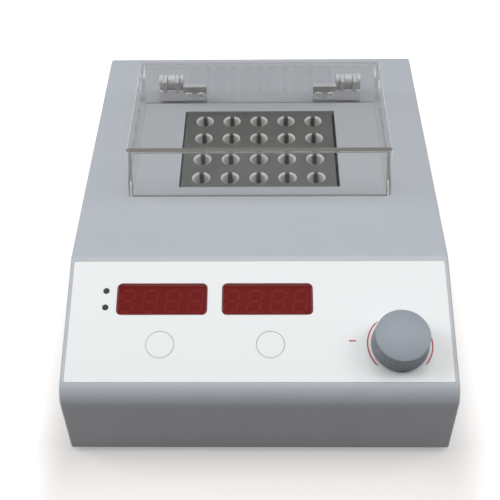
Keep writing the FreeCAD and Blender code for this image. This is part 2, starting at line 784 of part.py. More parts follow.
def drill_pin(body, side, fit):
    hole = sketch(body, "YZ", (0, 0, side * d.hinge_x))
    circle(hole, pin_y, pin_z, d.pin_radius + fit)
    pocket(body, hole, 3 * hinge_width(), middle=True)


def build_hinge_base(name, side):
    body = new_body(name)
    front, back = pin_y - d.knuckle_radius, pin_y + d.hinge_foot_back
    top = d.top_height + d.hinge_foot_height
    foot = sketch(body, "YZ", (0, 0, side * d.hinge_x))
    outline(foot, [(front, d.top_height), (back, d.top_height), (back, top, 2), (front, top)])
    pad(body, foot, hinge_width(), middle=True)
    round_ = d.knuckle_radius - d.knuckle_flat
    knuckle_top, rear = pin_z + d.knuckle_radius, pin_y + d.knuckle_radius
    low = d.top_height + d.hinge_foot_height / 2
    for start, width in knuckle_spans(side)[::2]:
        eye = sketch(body, "YZ", (0, 0, start))
        outline(
            eye,
            [(front, low), (rear, low), (rear, knuckle_top, round_), (front, knuckle_top, round_)],
        )
        pad(body, eye, width)
    drill_pin(body, side, 0)
    threads = sketch(body, "XY", (0, 0, d.top_height))
    for x, y in hinge_screw_places(side):
        circle(threads, x, y, d.screw_pilot)
    pocket(body, threads, d.hinge_foot_height - d.hinge_foot_roof, back=True)


def lug_start(side):
    """The lug's lower x: it lies on the side of the knuckles that faces the middle."""
    inner = d.hinge_x - hinge_width() / 2
    return inner - d.lug_width if side > 0 else -inner


def lug_screw_places(side):
    middle = lug_start(side) + d.lug_width / 2
    height = d.top_height + d.lug_screw_height
    return [(middle + sign * d.lug_screw_spacing / 2, height) for sign in (-1, 1)]


def build_hinge_leaf(name, side):
    body = new_body(name)
    low = d.top_height + d.leaf_lift

    def strip(start, width, height, thickness):
        top = d.top_height + height
        face_low = wall_at(d.leaf_lift) + d.seat_gap
        face_top = wall_at(height) + d.seat_gap
        back = face_low + thickness
        profile = sketch(body, "YZ", (0, 0, start))
        outline(profile, [(face_low, low), (back, low), (back, top), (face_top, top)])
        pad(body, profile, width)

    strip(side * d.hinge_x - hinge_width() / 2, hinge_width(), d.leaf_height, d.leaf_thickness)
    strip(lug_start(side), d.lug_width, d.lug_height, d.lug_thickness)
    bottom, top = pin_z - d.knuckle_radius, pin_z + d.knuckle_radius
    round_ = d.knuckle_radius - d.knuckle_flat
    rear = pin_y + d.knuckle_radius
    for start, width in knuckle_spans(side)[1::2]:
        arm = sketch(body, "YZ", (0, 0, start))
        outline(
            arm,
            [
                (wall_at(d.pin_height - d.knuckle_radius) + d.seat_gap, bottom),
                (rear, bottom, round_),
                (rear, top, round_),
                (wall_at(d.pin_height + d.knuckle_radius) + d.seat_gap, top),
            ],
        )
        pad(body, arm, width)
    drill_pin(body, side, d.pin_fit)
    threads = sketch(body, "XZ", (0, 0, -(lid_rear - d.lid_wall)))
    for x, z in lug_screw_places(side):
        circle(threads, x, z, d.screw_pilot)
    pocket(body, threads, d.lid_wall + 2 * d.lug_thickness)


def build_hinge_pin(name, side):
    start = side * d.hinge_x - hinge_width() / 2
    node(cylinder(d.pin_radius, hinge_width(), (start, pin_y, pin_z), (0, 1, 0), 90), name)


# Clear lid


def build_lid():
    body = new_body("lid_cover", ((0, lid_y, lid_low),))

    def section(height, inset, corner):
        shrink = 2 * (height * tangent(d.lid_draft) + inset)
        made = sketch(body, "XY", (0, 0, height))
        rectangle(made, 0, 0, d.lid_width - shrink, d.lid_depth - shrink, corner)
        return made

    loft(
        body,
        [
            section(as_size(0), 0, d.lid_corner),
            section(d.lid_height - d.lid_edge, 0, d.lid_corner),
            section(d.lid_height, d.lid_edge, d.lid_corner - d.lid_edge),
        ],
    )
    hollow = sketch(body, "XY")
    rectangle(hollow, 0, 0, d.lid_width - 2 * d.lid_wall, d.lid_depth - 2 * d.lid_wall)
    room = pocket(body, hollow, d.lid_height - d.lid_wall, back=True)
    bind(room, "TaperAngle", -d.lid_draft)
    holes = sketch(body, "XZ", (0, -lid_low, -(d.lid_depth / 2 - 3 * d.lid_wall)))
    for side in (-1, 1):
        for x, z in lug_screw_places(side):
            circle(holes, x, z, d.screw_pass)
    pocket(body, holes, 4 * d.lid_wall)


# Heating block, and the cavity that holds and heats it


def build_heating_block():
    body = new_body("heating_block", ((-d.block_shift, block_y, block_low),))
    base = sketch(body, "XY")
    rectangle(base, 0, 0, d.block_width, d.block_depth)
    pad(body, base, d.block_height)
    chamfer(body, d.block_edge, in_plane("z", d.block_height))
    first_x = -(d.well_columns - 1) * d.well_pitch_width / 2
    rear_row = (d.well_rows - 1) * d.well_pitch_depth / 2
    top, shoulder = d.block_height, d.block_height - d.well_depth + d.well_point
    well = sketch(body, "XZ", (0, 0, -rear_row))
    outline(
        well,
        [
            (first_x, top),
            (first_x + d.well_radius, top),
            (first_x + d.well_radius, shoulder),
            (first_x, top - d.well_depth),
        ],
    )
    bore = turn(body, well, first_x, "PartDesign::Groove")
    pattern(
        body,
        bore,
        well,
        [
            ("H_Axis", d.well_columns, d.well_pitch_width),
            ("N_Axis", d.well_rows, d.well_pitch_depth),
        ],
    )


def ring(label, low, high, inner, outer):
    """A rectangular ring about the block's middle; inner and outer are (width, depth)."""
    body = new_body(label, ((0, block_y, low),))
    base = sketch(body, "XY")
    rectangle(base, 0, 0, *outer)
    rectangle(base, 0, 0, *inner)
    pad(body, base, high - low)
    return body


def slab(label, low, high, width, depth):
    body = new_body(label, ((0, block_y, low),))
    base = sketch(body, "XY")
    rectangle(base, 0, 0, width, depth)
    pad(body, base, high - low)
    return body


def build_cavity():
    cavity = (cavity_width, cavity_depth)
    ring("cavity_liner", block_low, ceiling, cavity, (liner_width, liner_depth))
    felt_inner = (liner_width + 2 * d.seat_gap, liner_depth + 2 * d.seat_gap)
    felt_outer = (liner_width + 2 * d.felt_thickness, liner_depth + 2 * d.felt_thickness)
    ring("insulation_jacket", block_low, ceiling - d.felt_gap, felt_inner, felt_outer)

    plate = slab("heater_plate", plate_low, block_low, plate_width, plate_depth)
    bore = sketch(plate, "XZ", (0, d.plate_thickness / 2, plate_depth / 2 - d.probe_bore_depth))
    circle(bore, 0, 0, d.probe_radius + d.seat_gap)
    pocket(plate, bore, 2 * d.probe_bore_depth, back=True)

    mat_width, mat_depth = plate_width - 2 * d.mat_margin, plate_depth - 2 * d.mat_margin
    slab("heater_mat", mat_low, plate_low, mat_width, mat_depth)
    slab("insulation_slab", slab_low, mat_low, mat_width, mat_depth)

    pillars = [
        cylinder(d.pillar_radius, plate_low - floor_top, (x, y, floor_top)) for x, y in pillar_places
    ]
    group("heater_pillars", pillars)
    probe_y = block_y - plate_depth / 2 + d.probe_bore_depth - d.probe_length
    probe_z = plate_low + d.plate_thickness / 2
    probe = cylinder(d.probe_radius, d.probe_length, (0, probe_y, probe_z), (1, 0, 0), -90)
    node(probe, "temperature_probe")
    cutout_x = plate_width / 2 - d.mat_margin / 2
    cutout_z = plate_low - d.cutout_height
    node(cylinder(d.cutout_radius, d.cutout_height, (cutout_x, block_y, cutout_z)), "thermal_cutout")


# Base tray, feet and the screws from below


def build_base_tray():
    body = new_body("base_tray")
    side = sketch(body, "YZ")
    front = housing_outline(d.wall, tray_low)[-1][0] + d.tray_gap
    low, top = tray_low, floor_top
    outline(side, [(front, low), (upstand_face, low), (upstand_face, top), (front, top)])
    pad(body, side, d.overall_width - 2 * (d.wall + d.tray_gap), middle=True)
    bend = sketch(body, "YZ")
    inner = upstand_face - d.sheet
    high = tray_low + d.upstand_height
    outline(bend, [(inner, low), (upstand_face, low), (upstand_face, high), (inner, high)])
    pad(body, bend, d.upstand_width, middle=True)

    def inner_corner(edge):
        middle = edge.BoundBox.Center
        near = abs(middle.y - inner.number) < NEAR and abs(middle.z - top.number) < NEAR
        return near and edge.BoundBox.XLength > 1

    fillet(body, d.tray_bend, inner_corner)

    holes = sketch(body, "XY", (0, 0, tray_low - 1))
    for x, y in foot_places:
        circle(holes, x, y, d.screw_pilot)
    for x, y in boss_places + pillar_places:
        circle(holes, x, y, d.screw_pass)
    pocket(body, holes, 3 * d.sheet, back=True)
    first = -(d.vent_count - 1) * d.vent_pitch / 2
    slot = sketch(body, "XY", (0, 0, tray_low - 1))
    rectangle(slot, first, block_y, d.vent_width, d.vent_length)
    cut = pocket(body, slot, 3 * d.sheet, back=True)
    pattern(body, cut, slot, [("H_Axis", d.vent_count, d.vent_pitch)])
    cutouts = sketch(body, "XZ", (0, 0, -(upstand_face - 3 * d.sheet)))
    fit = 2 * d.panel_hole_fit
    rectangle(cutouts, d.inlet_x, d.inlet_height, d.inlet_body_width + fit, d.inlet_body_height + fit)
    rectangle(cutouts, d.switch_x, d.inlet_height, d.switch_body_width + fit, d.switch_body_height + fit)
    for sign in (-1, 1):
        spot = d.inlet_x + sign * d.inlet_screw_spacing / 2
        circle(cutouts, spot, d.inlet_height, d.screw_pilot)
    pocket(body, cutouts, 6 * d.sheet)


def build_feet():
    feet = []
    for x, y in foot_places:
        foot = doc.addObject("PartDesign::Body", "Foot")
        place(foot, (x, y, 0))
        profile = sketch(foot, "XZ")
        inner, head = d.screw_pass, d.screw_head + d.panel_hole_fit
        rim = d.foot_radius
        shelf = tray_low / 2
        outline(
            profile,
            [(head, 0), (rim, 0), (rim, tray_low), (inner, tray_low), (inner, shelf), (head, shelf)],
        )
        turn(foot, profile)
        feet.append(foot)
    group("rubber_feet", feet)


# Front panel


def build_front_panel():
    overlay = new_body("front_overlay", panel_seat)
    face = sketch(overlay, "XY", (0, 0, -d.overlay_recess))
    rectangle(face, 0, overlay_y, overlay_width, d.overlay_length, d.overlay_corner)
    for x in (left_window_x, right_window_x):
        fit = 2 * d.window_fit
        rectangle(face, x, window_y, d.window_width + fit, d.window_height + fit, d.window_corner)
    for x in (heat_key_x, timer_key_x):
        circle(face, x, controls_y, d.key_radius + d.key_fit)
    for y in (d.upper_indicator, d.lower_indicator):
        circle(face, indicator_x, -y, d.indicator_radius + d.window_fit)
    circle(face, knob_x, controls_y, d.bush_radius + d.bush_fit)
    pad(overlay, face, d.overlay_thickness)

    for side, x in (("left", left_window_x), ("right", right_window_x)):
        window = new_body("display_window_" + side, panel_seat)
        face = sketch(window, "XY", (0, 0, -d.window_thickness))
        rectangle(face, x, window_y, d.window_width, d.window_height, d.window_corner)
        pad(window, face, d.window_thickness + overlay_top)

        module = new_body("led_module_" + side, panel_seat)
        base = sketch(module, "XY", (0, 0, board_face))
        rectangle(base, x, window_y, d.module_width, d.module_length)
        pad(module, base, d.module_thickness)

    for name, y in (("upper", d.upper_indicator), ("lower", d.lower_indicator)):
        lens = new_body(name + "_indicator", panel_seat)
        collar = sketch(lens, "XY", (0, 0, board_face))
        circle(collar, indicator_x, -y, d.indicator_flange)
        pad(lens, collar, d.module_thickness)
        dome = sketch(lens, "XY", (0, 0, module_front))
        circle(dome, indicator_x, -y, d.indicator_radius)
        pad(lens, dome, overlay_top - module_front)

    board = new_body("display_board", panel_seat)
    base = sketch(board, "XY", (0, 0, board_back))
    rectangle(base, 0, board_y, display_board_width, d.display_board_length)
    for x, y in board_holes:
        circle(base, x, y, d.screw_pass)
    circle(base, knob_x, controls_y, d.shaft_radius + d.rotor_fit)
    pad(board, base, d.board_thickness)


def build_key(name, x):
    body = new_body(name + "_key", panel_seat)
    flange_low = -d.wall - d.key_flange_thickness
    stem_low = board_face + d.switch_height + d.key_travel_gap
    for radius, low, high in (
        (d.key_flange, flange_low, -d.wall),
        (d.key_radius, -d.wall, overlay_top),
        (d.key_stem, stem_low, flange_low),
    ):
        round_ = sketch(body, "XY", (0, 0, low))
        circle(round_, x, controls_y, radius)
        pad(body, round_, high - low)

    switch = new_body(name + "_switch", panel_seat)
    base = sketch(switch, "XY", (0, 0, board_face))
    rectangle(base, x, controls_y, d.switch_size, d.switch_size)
    pad(switch, base, d.switch_height - d.switch_plunger)
    plunger = sketch(switch, "XY", (0, 0, board_face))
    circle(plunger, x, controls_y, d.switch_size / 3)
    pad(switch, plunger, d.switch_height)


# Knob and encoder


def build_encoder():
    x, y = knob_x, controls_y
    bore = d.shaft_radius + d.shaft_fit
    body = new_body("encoder_body", panel_seat)
    case_top = module_front
    base = sketch(body, "XY", (0, 0, board_face))
    rectangle(base, x, y, d.encoder_width, d.encoder_width)
    pad(body, base, case_top - board_face)
    bush = sketch(body, "XY", (0, 0, case_top))
    circle(bush, x, y, d.bush_radius)
    pad(body, bush, d.bush_reach - case_top)
    hole = sketch(body, "XY", (0, 0, board_face))
    circle(hole, x, y, bore)
    pocket(body, hole, d.bush_reach - board_face + 1, back=True)
    room = sketch(body, "XY", (0, 0, board_face))
    circle(room, x, y, d.rotor_radius + d.rotor_fit)
    room_height = d.encoder_wall + d.rotor_height + 2 * d.rotor_fit
    pocket(body, room, room_height, back=True)

    nut = new_body("encoder_nut", panel_seat)
    base = sketch(nut, "XY", (0, 0, overlay_top))
    reach = d.nut_across / 2 / math.cos(math.radians(30))
    hexagon = [
        (
            x + reach * math.cos(math.radians(60 * i)),
            y + reach * math.sin(math.radians(60 * i)),
        )
        for i in range(6)
    ]
    outline(base, hexagon)
    circle(base, x, y, d.bush_radius)
    pad(nut, base, d.nut_height)

    rotor = new_body("encoder_rotor", panel_seat)
    base = sketch(rotor, "XY", (0, 0, board_face + d.encoder_wall + d.rotor_fit))
    circle(base, x, y, d.rotor_radius)
    circle(base, x, y, bore)
    pad(rotor, base, d.rotor_height)

    shaft = new_body("encoder_shaft", panel_seat)
    shaft_low = board_face + d.encoder_wall / 2
    base = sketch(shaft, "XY", (0, 0, shaft_low))
    circle(base, x, y, d.shaft_radius)
    pad(shaft, base, d.shaft_reach - shaft_low)

    knob = new_body("control_knob", panel_seat)
    low = overlay_top + d.knob_gap
    top = low + d.knob_height
    roof = top - d.knob_wall
    boss_low = d.bush_reach + d.knob_boss_gap
    inner = x + d.knob_top_radius - d.knob_wall
    profile = sketch(knob, "XZ", (0, 0, -y))
    outline(
        profile,
        [
            (x + d.shaft_radius, boss_low),
            (x + d.knob_boss, boss_low),
            (x + d.knob_boss, roof),
            (inner, roof),
            (inner, low),
            (x + d.knob_radius, low),
            (x + d.knob_top_radius, top - d.knob_bevel),
            (x + d.knob_top_radius - d.knob_bevel, top),
            (x, top),
            (x, d.shaft_reach),
            (x + d.shaft_radius, d.shaft_reach),
        ],
    )
    turn(knob, profile, x)


# Electronics in the housing


def build_electronics():
    board_x = d.control_board_inset - half_width
    board = new_body("control_board", ((board_x, nose_y + d.control_board_front, floor_top),))
    base = sketch(board, "XY", (0, 0, d.standoff_height))
    rectangle(base, 0, d.control_board_depth / 2, d.control_board_width, d.control_board_depth)
    pad(board, base, d.board_thickness)
    spots = [
        (
            board_x + sx * (d.control_board_width / 2 - d.board_hole_inset),
            nose_y
            + d.control_board_front
            + d.control_board_depth / 2
            + sy * (d.control_board_depth / 2 - d.board_hole_inset),
            floor_top,
        )
        for sx in (-1, 1)
        for sy in (-1, 1)
    ]
    group("board_standoffs", [cylinder(d.post_radius, d.standoff_height, spot) for spot in spots])

    seat = ((half_width - d.transformer_inset, nose_y + d.transformer_front, floor_top),)
    core = new_body("transformer_core", seat)
    face = sketch(core, "XZ")
    rectangle(face, 0, d.core_height / 2, d.core_width, d.core_height)
    opening = (d.core_width - 4 * d.core_limb) / 2
    for sign in (-1, 1):
        middle = sign * (d.core_limb + opening / 2)
        rectangle(face, middle, d.core_height / 2, opening, d.core_height - 2 * d.core_limb)
    pad(core, face, d.core_depth, middle=True)
    winding = new_body("transformer_winding", seat)
    base = sketch(winding, "XY", (0, 0, d.core_limb))
    outer = 2 * d.core_limb + 2 * (opening - d.winding_gap)
    rectangle(base, 0, 0, outer, d.winding_depth, d.winding_corner)
    rectangle(base, 0, 0, 2 * d.core_limb + 2 * d.winding_gap, d.core_depth + 2 * d.winding_gap)
    pad(winding, base, d.core_height - 2 * d.core_limb - d.winding_gap)

    sink_x = half_width - d.wall - d.sink_gap - d.sink_width
    sink = new_body("heat_sink", ((sink_x, block_y, floor_top),))
    comb = sketch(sink, "YZ")
    rectangle(comb, 0, d.sink_height / 2, d.sink_length, d.sink_height)
    pad(sink, comb, d.sink_base)
    fins = sketch(sink, "XY")
    spacing = (d.sink_length - d.sink_fin) / (d.sink_fin_count - 1)
    first = -(d.sink_length - d.sink_fin) / 2
    fin_low, fin_high = d.sink_base - d.sink_root, d.sink_width
    rectangle(fins, (fin_low + fin_high) / 2, first, fin_high - fin_low, d.sink_fin)
    fin = pad(sink, fins, d.sink_height)
    pattern(sink, fin, fins, [("V_Axis", d.sink_fin_count, spacing)])

    triac = new_body("triac", ((sink_x - d.triac_thickness, block_y, floor_top + d.sink_height / 3),))
    tab = sketch(triac, "YZ")
    rectangle(tab, 0, d.triac_height / 2, d.triac_width, d.triac_height)
    pad(triac, tab, d.triac_thickness)
    step = sketch(triac, "YZ")
    step_middle, step_height = (d.triac_height + d.triac_case) / 2, d.triac_height - d.triac_case
    rectangle(step, 0, step_middle, 2 * d.triac_width, step_height)
    pocket(triac, step, d.triac_thickness - d.triac_tab, back=True)


# Rear inlet and switch


def build_rear():
    flange_top = d.flange_thickness
    x, y = -d.inlet_x, d.inlet_height
    socket_y = y + d.socket_rise
    inlet = new_body("mains_inlet", rear_seat)
    face = sketch(inlet, "XY")
    rectangle(face, x, y, d.inlet_flange_width, d.inlet_flange_height, d.flange_corner)
    pad(inlet, face, flange_top)
    body = sketch(inlet, "XY")
    rectangle(body, x, y, d.inlet_body_width, d.inlet_body_height)
    pad(inlet, body, d.inlet_body_depth, back=True)
    socket = sketch(inlet, "XY", (0, 0, flange_top))
    half, up, cut = d.socket_width / 2, d.socket_height / 2, d.socket_chamfer
    outline(
        socket,
        [
            (x - half, socket_y - up),
            (x + half, socket_y - up),
            (x + half, socket_y + up - cut),
            (x + half - cut, socket_y + up),
            (x - half + cut, socket_y + up),
            (x - half, socket_y + up - cut),
        ],
    )
    pocket(inlet, socket, d.socket_depth)
    power_y = socket_y - d.earth_rise / 2
    blades = sketch(inlet, "XY", (0, 0, flange_top - d.socket_depth - d.blade_root))
    for sign in (-1, 1):
        spot = x + sign * d.blade_spacing / 2
        rectangle(blades, spot, power_y, d.blade_width, d.blade_height)
    rectangle(blades, x, power_y + d.earth_rise, d.blade_width, d.blade_height)
    pad(inlet, blades, d.blade_length + d.blade_root)
    drawer_y = y - d.drawer_drop
    slot = sketch(inlet, "XY", (0, 0, flange_top))
    fit = 2 * d.drawer_fit
    rectangle(slot, x, drawer_y, d.drawer_width + fit, d.drawer_height + fit)
    pocket(inlet, slot, d.drawer_depth + d.drawer_fit)
    holes = sketch(inlet, "XY", (0, 0, flange_top))
    for sign in (-1, 1):
        circle(holes, x + sign * d.inlet_screw_spacing / 2, y, d.screw_pass)
    pocket(inlet, holes, 2 * flange_top)

    drawer = new_body("fuse_drawer", rear_seat)
    front = sketch(drawer, "XY", (0, 0, flange_top - d.drawer_depth))
    rectangle(front, x, drawer_y, d.drawer_width, d.drawer_height)
    pad(drawer, front, d.drawer_depth)
    trough = sketch(drawer, "XY", (0, 0, flange_top - d.drawer_wall))
    wall = d.drawer_wall
    width = 2 * (d.fuse_radius + d.fuse_fit)
    rectangle(trough, x, drawer_y + wall, width, d.drawer_height)
    pocket(drawer, trough, d.drawer_depth - 2 * wall)
    fuse_y = upstand_face + flange_top - d.drawer_depth + wall + d.fuse_fit
    fuse_z = drawer_y - d.drawer_height / 2 + wall + d.fuse_radius
    seat = ((-x, fuse_y, fuse_z), (1, 0, 0), -90)
    node(cylinder(d.fuse_radius, d.fuse_length, *seat), "fuse")

    frame = new_body("switch_bezel", rear_seat)
    sx = -d.switch_x
    face = sketch(frame, "XY")
    rectangle(face, sx, y, d.bezel_width, d.bezel_height, d.flange_corner / 2)
    pad(frame, face, flange_top)
    body = sketch(frame, "XY")
    rectangle(body, sx, y, d.switch_body_width, d.switch_body_height)
    pad(frame, body, d.switch_body_depth, back=True)
    room = sketch(frame, "XY", (0, 0, flange_top))
    width = d.rocker_width + 2 * d.rocker_fit
    rectangle(room, sx, y, width, 2 * (d.rocker_radius + d.rocker_fit))
    pocket(frame, room, flange_top + d.rocker_depth + d.rocker_radius + d.rocker_fit)
    pivots = sketch(frame, "YZ", (0, 0, sx))
    circle(pivots, y, -d.rocker_depth, d.rocker_pin + d.rocker_pin_fit)
    pocket(frame, pivots, 2 * d.switch_body_width, middle=True)

    axis = ((d.switch_x, upstand_face - d.rocker_depth, y), (1, 0, 0), d.rocker_rest)
    rocker = new_body("power_rocker", axis)
    profile = sketch(rocker, "YZ")
    radius = d.rocker_radius
    outline(
        profile,
        [
            (-d.rocker_skirt, -radius),
            (-d.rocker_skirt, radius),
            (d.rocker_rise, radius),
            (d.rocker_dip, 0),
            (d.rocker_rise, -radius),
        ],
    )
    pad(rocker, profile, d.rocker_width, middle=True)
    pins = sketch(rocker, "YZ")
    circle(pins, 0, 0, d.rocker_pin)
    pad(rocker, pins, d.switch_body_width, middle=True)


build_top_housing()
for hinge_side, hand in ((-1, "left"), (1, "right")):
    build_hinge_base("hinge_base_" + hand, hinge_side)
    build_hinge_leaf("hinge_leaf_" + hand, hinge_side)
    build_hinge_pin("hinge_pin_" + hand, hinge_side)
build_lid()
build_heating_block()
build_cavity()
build_base_tray()
build_feet()
build_front_panel()
build_key("heat", heat_key_x)
build_key("timer", timer_key_x)
build_encoder()
build_electronics()
build_rear()
doc.recompute()

faults = ["%s: %s" % (o.Label, o.State) for o in doc.Objects if set(o.State) & {"Invalid", "Error"}]
for part in NODES:
    shape = part.Shape
    if shape.isNull() or not shape.isValid():
        faults.append("%s has no valid shape" % part.Label)
if faults:
    raise RuntimeError("; ".join(faults))

os.makedirs("parts", exist_ok=True)
for part in NODES:
    part.Shape.exportStep("parts/%s.step" % part.Label)
print("%d sub-parts" % len(NODES))
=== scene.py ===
"""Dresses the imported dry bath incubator.

Every solid gets its finish, and the fine pieces that the solids leave out are added. Lengths are
in metres in the part's frame: +X to the right of someone who faces the panel, +Y to the rear, +Z
up, with the origin on the bench under the middle of the housing.
"""

import json
import logging
import math
from dataclasses import dataclass, field, replace
from enum import Enum
from typing import Any, Iterable, Mapping, Sequence

import bmesh
import bpy
from mathutils import Matrix, Vector


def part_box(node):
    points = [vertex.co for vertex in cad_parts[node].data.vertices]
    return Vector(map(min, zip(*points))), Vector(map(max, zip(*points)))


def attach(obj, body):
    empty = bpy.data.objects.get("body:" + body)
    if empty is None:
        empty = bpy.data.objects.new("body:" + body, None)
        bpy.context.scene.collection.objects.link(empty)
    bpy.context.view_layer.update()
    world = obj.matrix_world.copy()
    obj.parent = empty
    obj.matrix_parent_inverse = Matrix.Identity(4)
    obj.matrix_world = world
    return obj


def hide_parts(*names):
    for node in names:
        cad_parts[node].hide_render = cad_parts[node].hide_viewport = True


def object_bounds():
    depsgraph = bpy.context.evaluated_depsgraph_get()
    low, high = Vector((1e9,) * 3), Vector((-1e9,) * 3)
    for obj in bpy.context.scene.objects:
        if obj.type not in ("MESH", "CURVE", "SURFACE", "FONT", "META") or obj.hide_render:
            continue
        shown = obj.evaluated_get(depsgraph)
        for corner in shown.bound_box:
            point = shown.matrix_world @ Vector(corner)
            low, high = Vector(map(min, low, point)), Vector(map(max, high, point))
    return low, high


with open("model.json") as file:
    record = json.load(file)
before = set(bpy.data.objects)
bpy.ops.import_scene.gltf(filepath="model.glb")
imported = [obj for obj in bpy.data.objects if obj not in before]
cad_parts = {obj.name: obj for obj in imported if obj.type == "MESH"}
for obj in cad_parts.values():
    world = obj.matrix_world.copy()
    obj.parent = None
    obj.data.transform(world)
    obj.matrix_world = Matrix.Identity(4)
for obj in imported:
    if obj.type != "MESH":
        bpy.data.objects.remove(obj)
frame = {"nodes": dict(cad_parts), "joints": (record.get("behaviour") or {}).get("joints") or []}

CAD_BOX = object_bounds()
MM = 0.001
FULL_TURN = 2 * math.pi
SAME_CORNER = 1e-7
SAME_LEVEL = 1e-6
WELL_PITCH = 17.7 * MM
WELL_BORE = 5.5 * MM

# Sockets of the Mix node for colours, whose names repeat for each kind of data.
MIX_SHARE, MIX_FIRST, MIX_SECOND, MIX_RESULT = 0, 6, 7, 2

Colour = tuple[float, float, float]
Sockets = Mapping[str, bpy.types.NodeSocket]
log = logging.getLogger("dry_bath")


class Body(Enum):
    """The rigid bodies that the new pieces ride on."""

    BASE = "base"
    LID = "lid"
    BLOCK = "block"
    KNOB = "knob"
    ROCKER = "rocker"


class Side(Enum):
    """The panel's two sides, as the names of pieces and nodes give them."""

    LEFT = "left"
    RIGHT = "right"


class Half(Enum):
    """The rocker's two halves, by the sign of their height above its pivot."""

    UPPER = 1
    LOWER = -1


class Grain(Enum):
    """How a surface's fine texture runs: the stretch of its pattern along X, Y and Z."""

    EVEN = (1.0, 1.0, 1.0)
    ALONG_X = (0.02, 1.0, 1.0)


def srgb(red: int, green: int, blue: int) -> Colour:
    """Turns a colour as seen on a screen into the linear values that shaders take.

    Args:
        red: Red, 0 to 255.
        green: Green, 0 to 255.
        blue: Blue, 0 to 255.

    Returns:
        The three linear values.
    """

    def linear(level: int) -> float:
        """Turns one level from 0 to 255 into its linear value."""
        share = level / 255
        return share / 12.92 if share <= 0.04045 else ((share + 0.055) / 1.055) ** 2.4

    return linear(red), linear(green), linear(blue)


class Graph:
    """A node tree while it is being wired."""

    def __init__(self, tree: bpy.types.NodeTree) -> None:
        """Takes the tree to fill and empties it."""
        self.tree = tree
        tree.nodes.clear()

    def add(
        self, kind: str, inputs: Mapping[Any, Any] | None = None, **settings: Any
    ) -> bpy.types.Node:
        """Adds a node.

        Args:
            kind: The node's type, without the ShaderNode prefix.
            inputs: Values or sockets for its inputs, by name or number.
            settings: Values for its own settings.

        Returns:
            The new node.
        """
        full = kind if kind.startswith("NodeGroup") else "ShaderNode" + kind
        node = self.tree.nodes.new(full)
        for name, value in settings.items():
            setattr(node, name, value)
        for name, value in (inputs or {}).items():
            if isinstance(value, bpy.types.NodeSocket):
                self.tree.links.new(value, node.inputs[name])
            else:
                node.inputs[name].default_value = value
        return node

    def math(self, operation: str, *values: Any) -> bpy.types.NodeSocket:
        """Adds a Math node for the given values and sockets, and gives its output."""
        return self.add("Math", dict(enumerate(values)), operation=operation).outputs[0]

    def ease(
        self, value: bpy.types.NodeSocket, source: tuple[float, float], target: tuple[float, float]
    ) -> bpy.types.NodeSocket:
        """Eases a value from one span to another.

        Args:
            value: What runs through the source span.
            source: Its first and last value.
            target: What those two become.

        Returns:
            The eased value's socket.
        """
        inputs = {
            "Value": value,
            "From Min": source[0],
            "From Max": source[1],
            "To Min": target[0],
            "To Max": target[1],
        }
        node = self.add("MapRange", inputs, interpolation_type="SMOOTHSTEP")
        return node.outputs["Result"]


class SurfaceGroup:
    """The node group that gives a finish its mottle, its grain and its uneven gloss."""

    NAME = "Mottle and grain"
    MOTTLE_DETAIL = 4.0
    GRAIN_DETAIL = 2.0

    @classmethod
    def tree(cls) -> bpy.types.NodeTree:
        """Gives the group's tree, built on first use."""
        found = bpy.data.node_groups.get(cls.NAME)
        return found or cls._build()

    @classmethod
    def _build(cls) -> bpy.types.NodeTree:
        """Builds the group.

        Returns:
            A group that puts out Colour, Roughness and Height.
        """
        tree = bpy.data.node_groups.new(cls.NAME, "ShaderNodeTree")
        face = tree.interface
        face.new_socket("Colour", in_out="INPUT", socket_type="NodeSocketColor")
        for name in ("Mottle", "Mottle Scale", "Grain Scale", "Roughness", "Roughness Spread"):
            face.new_socket(name, in_out="INPUT", socket_type="NodeSocketFloat")
        face.new_socket("Stretch", in_out="INPUT", socket_type="NodeSocketVector")
        face.new_socket("Colour", in_out="OUTPUT", socket_type="NodeSocketColor")
        face.new_socket("Roughness", in_out="OUTPUT", socket_type="NodeSocketFloat")
        face.new_socket("Height", in_out="OUTPUT", socket_type="NodeSocketFloat")
        graph = Graph(tree)
        given = graph.add("NodeGroupInput").outputs
        place = graph.add("TexCoord").outputs["Object"]
        stretched = graph.add("VectorMath", {0: place, 1: given["Stretch"]}, operation="MULTIPLY")
        run = stretched.outputs[0]
        broad = graph.add(
            "TexNoise", {"Vector": run, "Scale": given["Mottle Scale"], "Detail": cls.MOTTLE_DETAIL}
        )
        fine = graph.add(
            "TexNoise", {"Vector": run, "Scale": given["Grain Scale"], "Detail": cls.GRAIN_DETAIL}
        )
        swing = graph.math("SUBTRACT", broad.outputs["Fac"], 0.5)
        gain = graph.math("MULTIPLY_ADD", swing, given["Mottle"], 1.0)
        tinted = graph.add("VectorMath", {0: given["Colour"], "Scale": gain}, operation="SCALE")
        both = graph.math("ADD", swing, graph.math("SUBTRACT", fine.outputs["Fac"], 0.5))
        spread = graph.math("MULTIPLY_ADD", both, given["Roughness Spread"], given["Roughness"])
        graph.add(
            "NodeGroupOutput",
            {"Colour": tinted.outputs[0], "Roughness": spread, "Height": fine.outputs["Fac"]},
        )
        return tree


